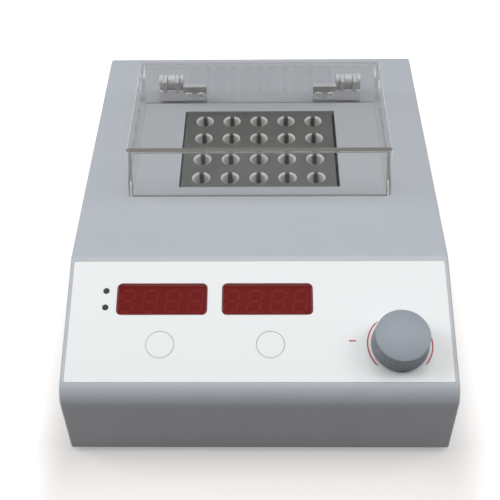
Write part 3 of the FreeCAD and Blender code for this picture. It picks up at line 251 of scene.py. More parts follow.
@dataclass(frozen=True)
class Finish:
    """A surface finish, and the numbers that tell one from another."""

    name: str
    colour: Colour
    roughness: float = 0.5
    metallic: float = 0.0
    mottle: float = 0.06
    mottle_size: float = 20 * MM
    grain_size: float = 0.6 * MM
    grain: Grain = Grain.EVEN
    bump: float = 0.02 * MM
    spread: float = 0.12
    coat: float = 0.0
    coat_roughness: float = 0.08
    alpha: float = 1.0
    sheen: float = 0.0
    gloss: float = 0.5

    @property
    def title(self) -> str:
        """The material's name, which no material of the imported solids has."""
        return self.name + "_finish"

    def material(self) -> bpy.types.Material:
        """Gives the finish's material, built on first use."""
        return bpy.data.materials.get(self.title) or self._build()

    def _build(self) -> bpy.types.Material:
        """Builds the material.

        Returns:
            A new material of the finish's name.
        """
        made = bpy.data.materials.new(self.title)
        made.use_nodes = True
        made.diffuse_color = (*self.colour, self.alpha)
        graph = Graph(made.node_tree)
        shader = graph.add("BsdfPrincipled", self._inputs(graph))
        graph.add("OutputMaterial", {"Surface": self._surface(graph, shader)})
        return made

    def _inputs(self, graph: Graph) -> Mapping[str, Any]:
        """Gives what the Principled node takes.

        Args:
            graph: The material's tree.

        Returns:
            Values and sockets by the names of the node's inputs.
        """
        group = graph.add("Group", node_tree=SurfaceGroup.tree())
        values = {
            "Colour": (*self.colour, 1.0),
            "Mottle": self.mottle,
            "Mottle Scale": 1 / self.mottle_size,
            "Grain Scale": 1 / self.grain_size,
            "Roughness": self.roughness,
            "Roughness Spread": self.spread,
            "Stretch": self.grain.value,
        }
        for name, value in values.items():
            group.inputs[name].default_value = value
        height = {"Height": group.outputs["Height"], "Strength": 1.0, "Distance": self.bump}
        return {
            "Base Color": group.outputs["Colour"],
            "Roughness": group.outputs["Roughness"],
            "Metallic": self.metallic,
            "Coat Weight": self.coat,
            "Coat Roughness": self.coat_roughness,
            "Alpha": self.alpha,
            "Sheen Weight": self.sheen,
            "Specular IOR Level": self.gloss,
            "Normal": graph.add("Bump", height).outputs[0],
        }

    def _surface(self, graph: Graph, shader: bpy.types.Node) -> bpy.types.NodeSocket:
        """Gives the socket that the material ends in: here, its Principled node's own."""
        return shader.outputs[0]


@dataclass(frozen=True)
class ClearAcrylic(Finish):
    """Clear sheet, the same all over, that lets the lamps through to what it covers.

    Rays that have bounced many times inside its edges leave it, so that the edges don't go black.
    """

    refraction: float = 1.49
    bounces: float = 3.5

    def _inputs(self, graph: Graph) -> Mapping[str, Any]:
        """Gives what the Principled node takes for clear sheet, all of it plain values.

        Args:
            graph: The material's tree.

        Returns:
            Values by the names of the node's inputs.
        """
        return {
            "Base Color": (*self.colour, 1.0),
            "Roughness": self.roughness,
            "IOR": self.refraction,
            "Transmission Weight": 1.0,
        }

    def _surface(self, graph: Graph, shader: bpy.types.Node) -> bpy.types.NodeSocket:
        """Opens the sheet to rays from lamps, and to those that are caught in it.

        Args:
            graph: The material's tree.
            shader: Its Principled node.

        Returns:
            The mixed shader's socket.
        """
        gap = graph.add("BsdfTransparent", {"Color": (*self.colour, 1.0)})
        path = graph.add("LightPath").outputs
        to_lamp = graph.math("MAXIMUM", path["Is Shadow Ray"], path["Is Diffuse Ray"])
        trapped = graph.math("GREATER_THAN", path["Ray Depth"], self.bounces)
        passed = graph.math("MAXIMUM", to_lamp, trapped)
        mixed = graph.add("MixShader", {0: passed, 1: shader.outputs[0], 2: gap.outputs[0]})
        return mixed.outputs[0]


@dataclass(frozen=True)
class ZonedFinish(Finish):
    """A finish with a painted highlight colour, and its own metal, in one zone of the piece."""

    painted_highlight_colour: Colour = (0.9, 0.9, 0.9)
    zone_metallic: float = 0.1
    zone_top: float = 0.0

    def _zone(self, graph: Graph, place: Sockets) -> bpy.types.NodeSocket:
        """Gives the zone's share at each place: here, 1 below the zone's top and 0 above it."""
        return graph.math("LESS_THAN", place["Z"], self.zone_top)

    def _surface(self, graph: Graph, shader: bpy.types.Node) -> bpy.types.NodeSocket:
        """Blends the painted highlight colour and the metal in.

        Args:
            graph: The material's tree.
            shader: Its Principled node.

        Returns:
            The shader's socket.
        """
        place = graph.add("SeparateXYZ", {0: graph.add("TexCoord").outputs["Object"]}).outputs
        share = self._zone(graph, place)
        face = shader.inputs["Base Color"].links[0].from_socket
        # The zone takes the painted highlight colour.
        mix = {MIX_SHARE: share, MIX_FIRST: face, MIX_SECOND: (*self.painted_highlight_colour, 1.0)}
        tinted = graph.add("Mix", mix, data_type="RGBA")
        graph.tree.links.new(tinted.outputs[MIX_RESULT], shader.inputs["Base Color"])
        metal = graph.math("MULTIPLY_ADD", share, self.zone_metallic - self.metallic, self.metallic)
        graph.tree.links.new(metal, shader.inputs["Metallic"])
        return shader.outputs[0]


@dataclass(frozen=True)
class BoredMetalPaintedHighlight(ZonedFinish):
    """Dark anodised faces round turned bores, with a painted highlight on each bore's left and
    right flanks that stands in for their reflection of the side lamps.

    The bores lie in a field with a middle and a half size, above a floor. The stripe says how far
    from a bore's middle, in radii, the painted highlight starts beside the dark stripe and reaches
    full strength. The painted highlight fades with depth between two heights, down to deep_share,
    as painted shade deeper in the bore.
    """

    middle: tuple[float, float] = (-0.5 * MM, 35.6 * MM)
    half: tuple[float, float] = (43 * MM, 34.5 * MM)
    floor: float = 36 * MM
    pitch: float = WELL_PITCH
    bore: float = WELL_BORE
    stripe: tuple[float, float] = (0.14, 0.36)
    fade: tuple[float, float] = (62 * MM, 79.5 * MM)
    deep_share: float = 0.45

    def _zone(self, graph: Graph, place: Sockets) -> bpy.types.NodeSocket:
        """Gives the painted highlight on the bores' flanks, brightest at the mouth.

        Args:
            graph: The material's tree.
            place: The point's X, Y and Z.

        Returns:
            A socket that runs from 0 outside the flanks to 1 at their mouths.
        """
        off_x = graph.math("SUBTRACT", place["X"], self.middle[0])
        off_y = graph.math("SUBTRACT", place["Y"], self.middle[1])
        turns = graph.math("WRAP", graph.math("DIVIDE", off_x, self.pitch), 0.5, -0.5)
        ratio = graph.math("MULTIPLY", graph.math("ABSOLUTE", turns), self.pitch / self.bore)
        flank = graph.ease(ratio, self.stripe, (0.0, 1.0))
        depth = graph.ease(place["Z"], self.fade, (self.deep_share, 1.0))
        limits = (
            graph.math("LESS_THAN", graph.math("ABSOLUTE", off_x), self.half[0]),
            graph.math("LESS_THAN", graph.math("ABSOLUTE", off_y), self.half[1]),
            graph.math("LESS_THAN", place["Z"], self.zone_top),
            graph.math("GREATER_THAN", place["Z"], self.floor),
            depth,
        )
        for limit in limits:
            flank = graph.math("MULTIPLY", flank, limit)
        return flank


HOUSING = Finish("moulded_grey", srgb(171, 176, 183), 0.42, mottle=0.03, grain_size=0.5 * MM)
OVERLAY = Finish(
    "white_film", srgb(222, 224, 225), 0.5, mottle=0.02, grain_size=0.35 * MM, bump=0.01 * MM
)
KEY_FILM = replace(OVERLAY, name="key_film")
KNOB = Finish("knob_grey", srgb(134, 142, 151), 0.45, mottle=0.03, grain_size=0.4 * MM)
PRINT_GREY = Finish("grey_print", srgb(206, 208, 210), 0.55, mottle=0.02, bump=0.0)
PRINT_RED = Finish("red_print", srgb(172, 62, 76), 0.55, mottle=0.02, bump=0.0)
WINDOW = Finish(
    "dark_red_window", srgb(122, 14, 11), 0.35,
    mottle=0.02, bump=0.0, spread=0.03, alpha=0.5, gloss=0.08,
)
LENS = Finish("dark_lens", srgb(44, 44, 48), 0.3, mottle=0.02, bump=0.0, gloss=0.15)
LED_FACE = Finish("display_face", srgb(110, 18, 14), 0.6, mottle=0.05)
LED_SEGMENT = Finish("display_segment", srgb(214, 62, 50), 0.5, mottle=0.04)
LID = ClearAcrylic("clear_acrylic", (0.945, 0.938, 0.93), 0.0)
# Below zone_top the hinge is metal, and its lighter colour there is a painted highlight on the lugs
# and ledges.
HINGE = ZonedFinish(
    "hinge_grey", srgb(208, 210, 213), 0.4, mottle=0.05, grain_size=0.4 * MM,
    painted_highlight_colour=srgb(232, 234, 236), zone_metallic=0.85, zone_top=88.9 * MM,
)
# The bright colour on the bores' flanks is a painted highlight, fading with depth as painted shade.
BLOCK = BoredMetalPaintedHighlight(
    "anodised_block_painted_highlight", srgb(107, 110, 108), 0.42,
    metallic=0.75, mottle=0.12, grain_size=0.35 * MM, spread=0.2,
    painted_highlight_colour=srgb(236, 238, 236), zone_top=79.65 * MM,
)
# The lips' bright colour on their flanks is a painted highlight.
LIP_PAINTED_HIGHLIGHT = BoredMetalPaintedHighlight(
    "lip_painted_highlight", srgb(110, 112, 110), 0.35,
    metallic=0.5, mottle=0.08, spread=0.1,
    painted_highlight_colour=srgb(250, 251, 250), zone_top=90 * MM,
)
ALUMINIUM = Finish(
    "machined_aluminium", srgb(176, 178, 180), 0.35, metallic=0.9, grain=Grain.ALONG_X
)
STEEL = Finish("brushed_steel", srgb(168, 170, 172), 0.32, metallic=0.95, grain=Grain.ALONG_X)
SHEET = Finish(
    "zinc_sheet", srgb(140, 144, 147), 0.45, metallic=0.7, mottle=0.25, mottle_size=9 * MM
)
BRASS = Finish("brass", srgb(196, 160, 92), 0.3, metallic=0.95, mottle=0.08)
BLACK = Finish("black_moulding", srgb(34, 35, 37), 0.45, mottle=0.15, grain_size=0.5 * MM)
SATIN_BLACK = Finish("satin_black_rocker", srgb(26, 27, 29), 0.3, mottle=0.1, grain_size=0.4 * MM)
# Strips of painted shade and painted highlight that stand in for how the lid's top front and rear
# edges look through the acrylic.
PAINTED_EDGE_SHADE = Finish("painted_edge_shade", srgb(114, 112, 109), 0.6, mottle=0.05, bump=0.0, gloss=0.2)
PAINTED_EDGE_HIGHLIGHT = Finish("painted_edge_highlight", srgb(160, 162, 166), 0.6, mottle=0.05, bump=0.0, gloss=0.2)
RUBBER = Finish(
    "black_rubber", srgb(38, 38, 40), 0.75, mottle=0.2, grain_size=0.4 * MM, bump=0.05 * MM
)
BOARD = Finish("green_board", srgb(24, 92, 52), 0.4, mottle=0.25, mottle_size=5 * MM, coat=0.3)
FELT = Finish(
    "glass_felt", srgb(214, 206, 188), 0.9,
    mottle=0.3, mottle_size=4 * MM, bump=0.3 * MM, sheen=0.2,
)
MAT = Finish(
    "silicone_mat", srgb(176, 78, 44), 0.6, mottle=0.1, grain_size=0.8 * MM, bump=0.06 * MM
)
WINDING = Finish(
    "enamelled_wire", srgb(150, 82, 44), 0.35, metallic=0.5, grain=Grain.ALONG_X, bump=0.1 * MM
)
CORE = Finish(
    "core_laminations", srgb(62, 64, 68), 0.5, metallic=0.6, grain=Grain.ALONG_X, bump=0.05 * MM
)
GLASS_TUBE = Finish("fuse_glass", srgb(214, 220, 220), 0.1, mottle=0.05, alpha=0.45, coat=0.6)
SCREW = Finish(
    "plated_screw", srgb(150, 152, 156), 0.3, metallic=0.95, mottle=0.1, grain_size=0.2 * MM
)
SYMBOL = Finish("white_print", srgb(226, 228, 228), 0.55, mottle=0.02, bump=0.0)


def paint(finish: Finish, *nodes: str) -> None:
    """Gives CAD nodes a finish.

    Args:
        finish: The finish.
        nodes: The nodes' names.
    """
    for name in nodes:
        slots = frame["nodes"][name].data.materials
        slots.clear()
        slots.append(finish.material())


class Shape:
    """A mesh in the making, with the few operations that the pieces share."""

    def __init__(self) -> None:
        """Starts empty."""
        self.mesh = bmesh.new()

    @classmethod
    def lathe(cls, profile: Sequence[tuple[float, float]], steps: int = 48) -> "Shape":
        """Turns a profile about Z.

        Args:
            profile: Points (radius, height); a closed ring ends where it starts.
            steps: Sides of the turned shape.

        Returns:
            The turned shape.
        """
        shape = cls()
        mesh = shape.mesh
        corners = [mesh.verts.new((radius, 0.0, height)) for radius, height in profile]
        edges = [mesh.edges.new(pair) for pair in zip(corners, corners[1:])]
        bmesh.ops.spin(
            mesh, geom=corners + edges, cent=(0, 0, 0), axis=(0, 0, 1), angle=FULL_TURN,
            steps=steps, use_merge=True,
        )
        shape.weld()
        return shape

    @classmethod
    def plate(cls, width: float, depth: float, height: float) -> "Shape":
        """Makes a flat plate about the origin, its underside at Z 0.

        Args:
            width: Along X.
            depth: Along Y.
            height: Along Z.

        Returns:
            The plate.
        """
        shape = cls()
        mesh = shape.mesh
        bmesh.ops.create_cube(mesh, size=1.0)
        bmesh.ops.scale(mesh, vec=(width, depth, height), verts=mesh.verts)
        bmesh.ops.translate(mesh, vec=(0, 0, height / 2), verts=mesh.verts)
        return shape

    @classmethod
    def ring(cls, radius: float, width: float, height: float, steps: int) -> "Shape":
        """Makes a flat ring about the origin, its underside at Z 0.

        Args:
            radius: Inner radius.
            width: From the inner edge to the outer one.
            height: Thickness along Z.
            steps: Sides of the ring.

        Returns:
            The ring.
        """
        outer = radius + width
        section = [(radius, 0), (outer, 0), (outer, height), (radius, height), (radius, 0)]
        return cls.lathe(section, steps=steps)

    @classmethod
    def band(
        cls, radius: float, width: float, height: float, start: float, sweep: float,
        step: float = math.radians(3), swell: float = 4.0, tip: float = 0.1,
    ) -> "Shape":
        """Makes a flat arc that is full in its middle and fine at both ends.

        Args:
            radius: Radius of its middle line.
            width: Width in the middle.
            height: Thickness along Z.
            start: First angle, in radians.
            sweep: Angle from start to end, in radians.
            step: Angle of one of its pieces, in radians.
            swell: How fast the arc widens from its ends.
            tip: Share of the width that the ends have.

        Returns:
            The arc.
        """
        shape = cls()
        mesh = shape.mesh
        inner, outer = radius - width / 2, radius + width / 2
        section = [(inner, 0.0), (outer, 0.0), (outer, height), (inner, height)]
        corners = [mesh.verts.new((out, 0.0, z)) for out, z in section]
        edges = [mesh.edges.new((corners[i - 1], corners[i])) for i in range(len(corners))]
        mesh.faces.new(corners)
        made = bmesh.ops.spin(
            mesh, geom=corners + edges, cent=(0, 0, 0), axis=(0, 0, 1), angle=sweep,
            steps=round(sweep / step),
        )
        last = [e for e in made["geom_last"] if isinstance(e, bmesh.types.BMEdge)]
        bmesh.ops.contextual_create(mesh, geom=last)
        for vert in mesh.verts:
            along = min(1.0, max(0.0, math.atan2(vert.co.y, vert.co.x) / sweep))
            share = min(1.0, swell * math.sin(math.pi * along) + tip)
            out = vert.co.xy.length
            vert.co.xy *= (radius + (out - radius) * share) / out
        shape.weld()
        return shape.move(Matrix.Rotation(start, 4, "Z"))

    def weld(self) -> "Shape":
        """Merges doubles and points all faces outwards.

        Returns:
            The same shape.
        """
        bmesh.ops.remove_doubles(self.mesh, verts=self.mesh.verts, dist=SAME_CORNER)
        bmesh.ops.recalc_face_normals(self.mesh, faces=self.mesh.faces)
        return self

    def move(self, place: Matrix) -> "Shape":
        """Moves the shape to a place and gives it back."""
        self.mesh.transform(place)
        return self

    def join(self, others: Iterable["Shape"]) -> "Shape":
        """Takes other shapes in.

        Args:
            others: The shapes to add, which are used up.

        Returns:
            The same shape.
        """
        for other in others:
            spare = bpy.data.meshes.new("spare")
            other.mesh.to_mesh(spare)
            other.mesh.free()
            self.mesh.from_mesh(spare)
            bpy.data.meshes.remove(spare)
        return self

    def piece(
        self, name: str, body: Body, finish: Finish, slot: str, smooth: float = math.radians(30)
    ) -> bpy.types.Object:
        """Makes the shape an object that rides on a body.

        Args:
            name: The piece's name.
            body: The body that carries it.
            finish: Its finish.
            slot: The record's material slot; not used.
            smooth: Edges blunter than this, in radians, are shaded smooth.

        Returns:
            The new object.
        """
        for face in self.mesh.faces:
            face.smooth = True
        for edge in self.mesh.edges:
            edge.smooth = edge.is_manifold and edge.calc_face_angle(0.0) < smooth
        data = bpy.data.meshes.new(name)
        self.mesh.to_mesh(data)
        self.mesh.free()
        made = bpy.data.objects.new(name, data)
        bpy.context.scene.collection.objects.link(made)
        made.data.materials.append(finish.material())
        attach(made, body.value)
        log.info("piece %s: %d faces", name, len(data.polygons))
        return made


def at(x: float, y: float, z: float) -> Matrix:
    """Gives the move along X, Y and Z as a matrix."""
    return Matrix.Translation((x, y, z))


def joint_named(name: str) -> Mapping[str, Any]:
    """Gives what the frame says of the joint of that name."""
    return next(joint for joint in frame["joints"] if joint["name"] == name)


@dataclass
class Screw:
    """A button-head screw with a hexagonal socket, its head's seat at Z 0.

    The edge's points say how far the head's rounded edge goes inward and down, in bevels.
    """

    head: float = 2.6 * MM
    height: float = 1.4 * MM
    socket: float = 1.2 * MM
    depth: float = 0.8 * MM
    bevel: float = 0.35 * MM
    edge: tuple[tuple[float, float], ...] = ((2.0, 0.0), (0.6, 0.4), (0.0, 1.5))
    sides: int = 36

    def shape(self, place: Matrix) -> Shape:
        """Builds the screw's head.

        Args:
            place: Where its seat lies, Z pointing out of the seat.

        Returns:
            The head, in place.
        """
        floor = self.height - self.depth
        rounded = [
            (self.head - inward * self.bevel, self.height - down * self.bevel)
            for inward, down in self.edge
        ]
        made = Shape.lathe(
            [
                (0.0, floor),
                (self.socket, floor),
                (self.socket, self.height),
                *rounded,
                (self.head, 0.0),
                (0.0, 0.0),
            ],
            steps=self.sides,
        )
        sixth = math.pi / 3
        for vert in made.mesh.verts:
            if abs(vert.co.xy.length - self.socket) < SAME_LEVEL:
                angle = math.atan2(vert.co.y, vert.co.x) % sixth - sixth / 2
                vert.co.xy *= math.cos(sixth / 2) / math.cos(angle)
        return made.move(place)


@dataclass
class Panel:
    """The tilted panel's frame: x across, y up the slope from the crease, z out of the panel."""

    knob_x: float = 75.7 * MM
    knob_y: float = -52.6 * MM
    face: float = 0.1 * MM

    def place(self, x: float, y: float, out: float = 0.0) -> Matrix:
        """Gives a place on the panel.

        Args:
            x: Across, from the middle.
            y: Up the slope, from the crease.
            out: Height above the overlay.

        Returns:
            The place, Z pointing out of the panel.
        """
        joint = joint_named("knob_turn")
        axis = Vector(joint["axis"])
        tilt = math.atan2(-axis.y, axis.z)
        home = Matrix.Translation(joint["pos_m"]) @ Matrix.Rotation(tilt, 4, "X")
        return home @ at(x - self.knob_x, y - self.knob_y, self.face + out)


PANEL = Panel()


@dataclass
class Housing:
    """The top housing, the base tray and the feet."""

    foot_x: float = 86 * MM
    foot_y: float = 118 * MM
    foot_seat: float = 2.5 * MM
    boss_x: float = 96.5 * MM
    boss_ys: tuple[float, float] = (-90 * MM, 100 * MM)
    tray_low: float = 5 * MM
    pillar: float = 4 * MM

    def build(self) -> None:
        """Dresses the housing and adds its screws."""
        paint(HOUSING, "top_housing")
        paint(SHEET, "base_tray")
        paint(RUBBER, "rubber_feet")
        low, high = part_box("heater_pillars")
        pillar_xs = (low.x + self.pillar, high.x - self.pillar)
        pillar_ys = (low.y + self.pillar, high.y - self.pillar)
        feet = (-self.foot_x, self.foot_x), (-self.foot_y, self.foot_y)
        self._screws("foot_screws", *feet, self.foot_seat)
        self._screws("case_screws", (-self.boss_x, self.boss_x), self.boss_ys, self.tray_low)
        self._screws("pillar_screws", pillar_xs, pillar_ys, self.tray_low)

    def _screws(self, name: str, xs: Sequence[float], ys: Sequence[float], seat: float) -> None:
        """Adds screws that point up, at every crossing of two sets of lines.

        Args:
            name: The piece's name.
            xs: The lines across.
            ys: The lines along.
            seat: Height of the heads' seat.
        """
        down = Matrix.Rotation(math.pi, 4, "X")
        heads = [Screw().shape(at(x, y, seat) @ down) for x in xs for y in ys]
        heads[0].join(heads[1:]).piece(name, Body.BASE, SCREW, "steel")


@dataclass
class Display:
    """One four-digit display: its dark window, and the unlit segments behind it."""

    side: Side
    x: float
    y: float = -26.1 * MM
    digits: int = 4
    pitch: float = 12.7 * MM
    height: float = 12.8 * MM
    width: float = 7.2 * MM
    bar: float = 1.5 * MM
    flare: float = 1.2
    slant: float = math.radians(8)
    depth: float = 3.2 * MM
    relief: float = 0.12 * MM
    gap: float = 0.35 * MM
    dot: float = 0.6 * MM
    dot_gap: float = 2.2 * MM
    dot_sides: int = 16
    shift: float = -0.6 * MM

    def _bar(self, length: float, place: Matrix) -> Shape:
        """Builds one segment, a bar with pointed ends.

        Args:
            length: From point to point.
            place: Where it goes.

        Returns:
            The segment.
        """
        shape = Shape()
        half = self.bar / 2
        bmesh.ops.create_circle(shape.mesh, cap_ends=True, segments=6, radius=half)
        for vert in shape.mesh.verts:
            across, along = vert.co.xy
            vert.co.x = along + math.copysign(length / 2 - half, along)
            vert.co.y = math.copysign(min(half, abs(across) * self.flare), across)
        made = bmesh.ops.extrude_face_region(shape.mesh, geom=shape.mesh.faces[:])
        top = [v for v in made["geom"] if isinstance(v, bmesh.types.BMVert)]
        bmesh.ops.translate(shape.mesh, vec=(0, 0, self.relief), verts=top)
        return shape.weld().move(place)

    def _digit(self, x: float) -> list[Shape]:
        """Builds the seven segments and the point of one digit.

        Args:
            x: The digit's middle.

        Returns:
            Its segments.
        """
        half, quarter = self.width / 2, self.height / 4
        across = self.width - self.bar - self.gap
        shapes = [self._bar(across, at(0, y, 0)) for y in (-2 * quarter, 0, 2 * quarter)]
        upright = Matrix.Rotation(math.pi / 2, 4, "Z")
        along = 2 * quarter - self.bar / 2 - self.gap
        for side in (-half, half):
            for y in (-quarter, quarter):
                shapes.append(self._bar(along, at(side, y, 0) @ upright))
        section = [(0, 0), (self.dot, 0), (self.dot, self.relief), (0, self.relief)]
        dot = Shape.lathe(section, steps=self.dot_sides)
        shapes.append(dot.move(at(half + self.dot_gap, -2 * quarter, 0)))
        lean = Matrix.Shear("XY", 4, (0, 0))
        lean[0][1] = math.tan(self.slant)
        return [shape.move(at(x, 0, 0) @ lean) for shape in shapes]

    def build(self) -> None:
        """Dresses the window and the module, and adds the segments."""
        paint(WINDOW, "display_window_" + self.side.value)
        paint(LED_FACE, "led_module_" + self.side.value)
        first = self.shift - (self.digits - 1) * self.pitch / 2
        shapes = [s for i in range(self.digits) for s in self._digit(first + i * self.pitch)]
        place = PANEL.place(self.x, self.y, -self.depth - PANEL.face)
        segments = shapes[0].join(shapes[1:]).move(place)
        segments.piece("segments_" + self.side.value, Body.BASE, LED_SEGMENT, "lens_plastic")


@dataclass
class ControlPanel:
    """The overlay with its displays, lenses, keys and printed marks.

    Each arc has its side of the knob, and its start and sweep in degrees.
    """

    key_y: float = -52.6 * MM
    heat_x: float = -53.5 * MM
    timer_x: float = 6.2 * MM
    ring_radius: float = 7.65 * MM
    ring_width: float = 0.4 * MM
    ring_sides: int = 64
    ink: float = 0.04 * MM
    arc_radius: float = 17.4 * MM
    arc_width: float = 0.8 * MM
    arcs: tuple[tuple[Side, float, float], ...] = ((Side.LEFT, 130, 96), (Side.RIGHT, -42, 56))
    mark_x: float = 50.3 * MM
    mark_y: float = -50.6 * MM
    mark_size: tuple[float, float] = (3.7 * MM, 0.9 * MM)
    displays: list[Display] = field(
        default_factory=lambda: [Display(Side.LEFT, -53.4 * MM), Display(Side.RIGHT, 4.6 * MM)]
    )

    def build(self) -> None:
        """Dresses the panel and adds what is printed on it."""
        paint(OVERLAY, "front_overlay")
        paint(KEY_FILM, "heat_key", "timer_key")
        paint(LENS, "upper_indicator", "lower_indicator")
        paint(BOARD, "display_board")
        paint(BLACK, "heat_switch", "timer_switch")
        for display in self.displays:
            display.build()
        for name, x in (("heat", self.heat_x), ("timer", self.timer_x)):
            ring = Shape.ring(self.ring_radius, self.ring_width, self.ink, self.ring_sides)
            ring.move(PANEL.place(x, self.key_y))
            ring.piece(name + "_key_ring", Body.BASE, PRINT_GREY, "overlay_film")
        for side, start, sweep in self.arcs:
            arc = Shape.band(
                self.arc_radius, self.arc_width, self.ink, math.radians(start), math.radians(sweep)
            )
            arc.move(PANEL.place(PANEL.knob_x, PANEL.knob_y))
            arc.piece("arc_" + side.value, Body.BASE, PRINT_RED, "overlay_film")
        mark = Shape.plate(*self.mark_size, self.ink).move(PANEL.place(self.mark_x, self.mark_y))
        mark.piece("push_mark", Body.BASE, PRINT_RED, "overlay_film")


@dataclass
class ControlKnob:
    """The turned and ribbed knob, and the encoder under it.

    The edge says how far the crown's rounded edge goes inward and down, in bevels.
    """

    low: float = 1.1 * MM
    high: float = 14.1 * MM
    skirt: float = 15.6 * MM
    crown: float = 14.7 * MM
    wall: float = 2.0 * MM
    bevel: float = 1.0 * MM
    edge: tuple[float, float] = (0.3, 0.35)
    ribs: int = 60
    steps_per_rib: int = 6
    rib_depth: float = 0.4 * MM
    rib_low: float = 1.9 * MM
    rib_high: float = 12.6 * MM
    rib_end: float = 0.4 * MM

    def _wall_at(self, height: float) -> float:
        """Gives the wall's outer radius at a height above the panel."""
        share = (height - self.low) / (self.high - self.bevel - self.low)
        return self.skirt + (self.crown - self.skirt) * share

    def build(self) -> None:
        """Dresses the encoder and puts the ribbed knob in place of the plain one."""
        paint(KNOB, "control_knob")
        paint(STEEL, "encoder_body", "encoder_shaft")
        paint(BRASS, "encoder_nut", "encoder_rotor")
        levels = (
            self.low,
            self.rib_low - self.rib_end,
            self.rib_low,
            self.rib_high,
            self.rib_high + self.rib_end,
            self.high - self.bevel,
        )
        outer = [(self._wall_at(z), z) for z in levels]
        roof, hollow = self.high - self.wall, self.crown - self.wall
        profile = [
            (0.0, roof),
            (hollow, roof),
            (self.skirt - self.wall, self.low),
            *outer,
            (self.crown - self.edge[0] * self.bevel, self.high - self.edge[1] * self.bevel),
            (self.crown - self.bevel, self.high),
            (0.0, self.high),
        ]
        knob = Shape.lathe(profile, steps=self.ribs * self.steps_per_rib)
        for vert in knob.mesh.verts:
            radius = vert.co.xy.length
            ribbed = self.rib_low - SAME_LEVEL < vert.co.z < self.rib_high + SAME_LEVEL
            if ribbed and radius > self._wall_at(vert.co.z) - SAME_LEVEL:
                angle = math.atan2(vert.co.y, vert.co.x)
                dip = self.rib_depth * (0.5 - 0.5 * math.cos(self.ribs * angle)) ** 2
                vert.co.xy *= (radius - dip) / radius
        place = PANEL.place(PANEL.knob_x, PANEL.knob_y, -PANEL.face)
        made = knob.move(place).piece("ribbed_knob", Body.KNOB, KNOB, "knob_plastic")
        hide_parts("control_knob")


@dataclass
class TubeBlock:
    """The aluminium block with its wells, and the heated cavity round it."""

    columns: int = 5
    rows: int = 4
    pitch_x: float = WELL_PITCH
    pitch_y: float = 18.3 * MM
    bore: float = WELL_BORE
    lip: float = 0.1 * MM
    rise: float = 0.05 * MM
    fall: float = 1.4 * MM
    narrow: float = 0.5 * MM
    lap: float = 0.01 * MM
    lip_sides: int = 40

    def build(self) -> None:
        """Dresses the block and the cavity, and adds the wells' lips with their painted highlight.
        """
        paint(BLOCK, "heating_block")
        paint(SHEET, "cavity_liner")
        paint(ALUMINIUM, "heater_plate")
        paint(FELT, "insulation_jacket", "insulation_slab")
        paint(MAT, "heater_mat")
        paint(STEEL, "heater_pillars", "temperature_probe")
        paint(BLACK, "thermal_cutout")
        low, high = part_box("heating_block")
        middle = (low + high) / 2
        section = [
            (self.bore + self.lip, -self.rise),
            (self.bore + self.lip, self.rise),
            (self.bore, self.rise),
            (self.bore - self.narrow, -self.fall),
            (self.bore - self.lap, -self.fall),
            (self.bore + self.lip, -self.rise),
        ]
        lips = []
        for row in range(self.rows):
            for column in range(self.columns):
                x = middle.x + (column - (self.columns - 1) / 2) * self.pitch_x
                y = middle.y + (row - (self.rows - 1) / 2) * self.pitch_y
                lips.append(Shape.lathe(section, steps=self.lip_sides).move(at(x, y, high.z)))
        # The lips carry a painted highlight on their flanks.
        lips[0].join(lips[1:]).piece("well_lips", Body.BLOCK, LIP_PAINTED_HIGHLIGHT, "aluminium")


@dataclass
class ClearLid:
    """The clear lid with strips of painted shade and painted highlight along its top edges, and its
    two hinges.
    """

    width: float = 153.8 * MM
    strip_width: float = 2.8 * MM
    sunk: float = 0.12 * MM
    thick: float = 0.1 * MM
    draft: float = math.radians(2.9)
    lug_xs: tuple[float, float] = (39 * MM, 47 * MM)
    lug_height: float = 87.5 * MM
    lug_head: float = 1.1 * MM
    wall: float = 3.0 * MM

    def build(self) -> None:
        """Dresses the lid and the hinges, and adds the painted edge strips and the lugs' screws."""
        paint(LID, "lid_cover")
        low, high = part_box("lid_cover")
        lean = (high.z - low.z) * math.tan(self.draft)
        middle, top = (low.x + high.x) / 2, high.z - self.sunk - self.thick
        # A strip of painted shade along the front top edge, and one of painted highlight along the
        # rear top edge.
        for name, y, finish in (
            ("front_edge_painted_shade", low.y + lean + self.sunk + self.strip_width / 2, PAINTED_EDGE_SHADE),
            ("rear_edge_painted_highlight", high.y - lean - self.sunk - self.strip_width / 2, PAINTED_EDGE_HIGHLIGHT),
        ):
            strip = Shape.plate(self.width, self.strip_width, self.thick).move(at(middle, y, top))
            strip.piece(name, Body.LID, finish, "clear_acrylic")
        seat = high.y - self.wall - (self.lug_height - low.z) * math.tan(self.draft) + self.sunk
        inward = Matrix.Rotation(math.pi / 2, 4, "X")
        heads = [
            Screw(height=self.lug_head).shape(at(side * x, seat, self.lug_height) @ inward)
            for side in (-1, 1)
            for x in self.lug_xs
        ]
        # The lugs' screws take the hinge finish with its painted highlight.
        heads[0].join(heads[1:]).piece("lug_screws", Body.LID, HINGE, "steel")
        paint(HINGE, "hinge_base_left", "hinge_base_right", "hinge_leaf_left", "hinge_leaf_right")
        paint(STEEL, "hinge_pin_left", "hinge_pin_right")


@dataclass
class Electronics:
    """The boards and the mains pieces inside the housing."""

    def build(self) -> None:
        """Dresses them."""
        paint(BOARD, "control_board")
        paint(BRASS, "board_standoffs")
        paint(CORE, "transformer_core")
        paint(WINDING, "transformer_winding")
        paint(ALUMINIUM, "heat_sink")
        paint(BLACK, "triac")


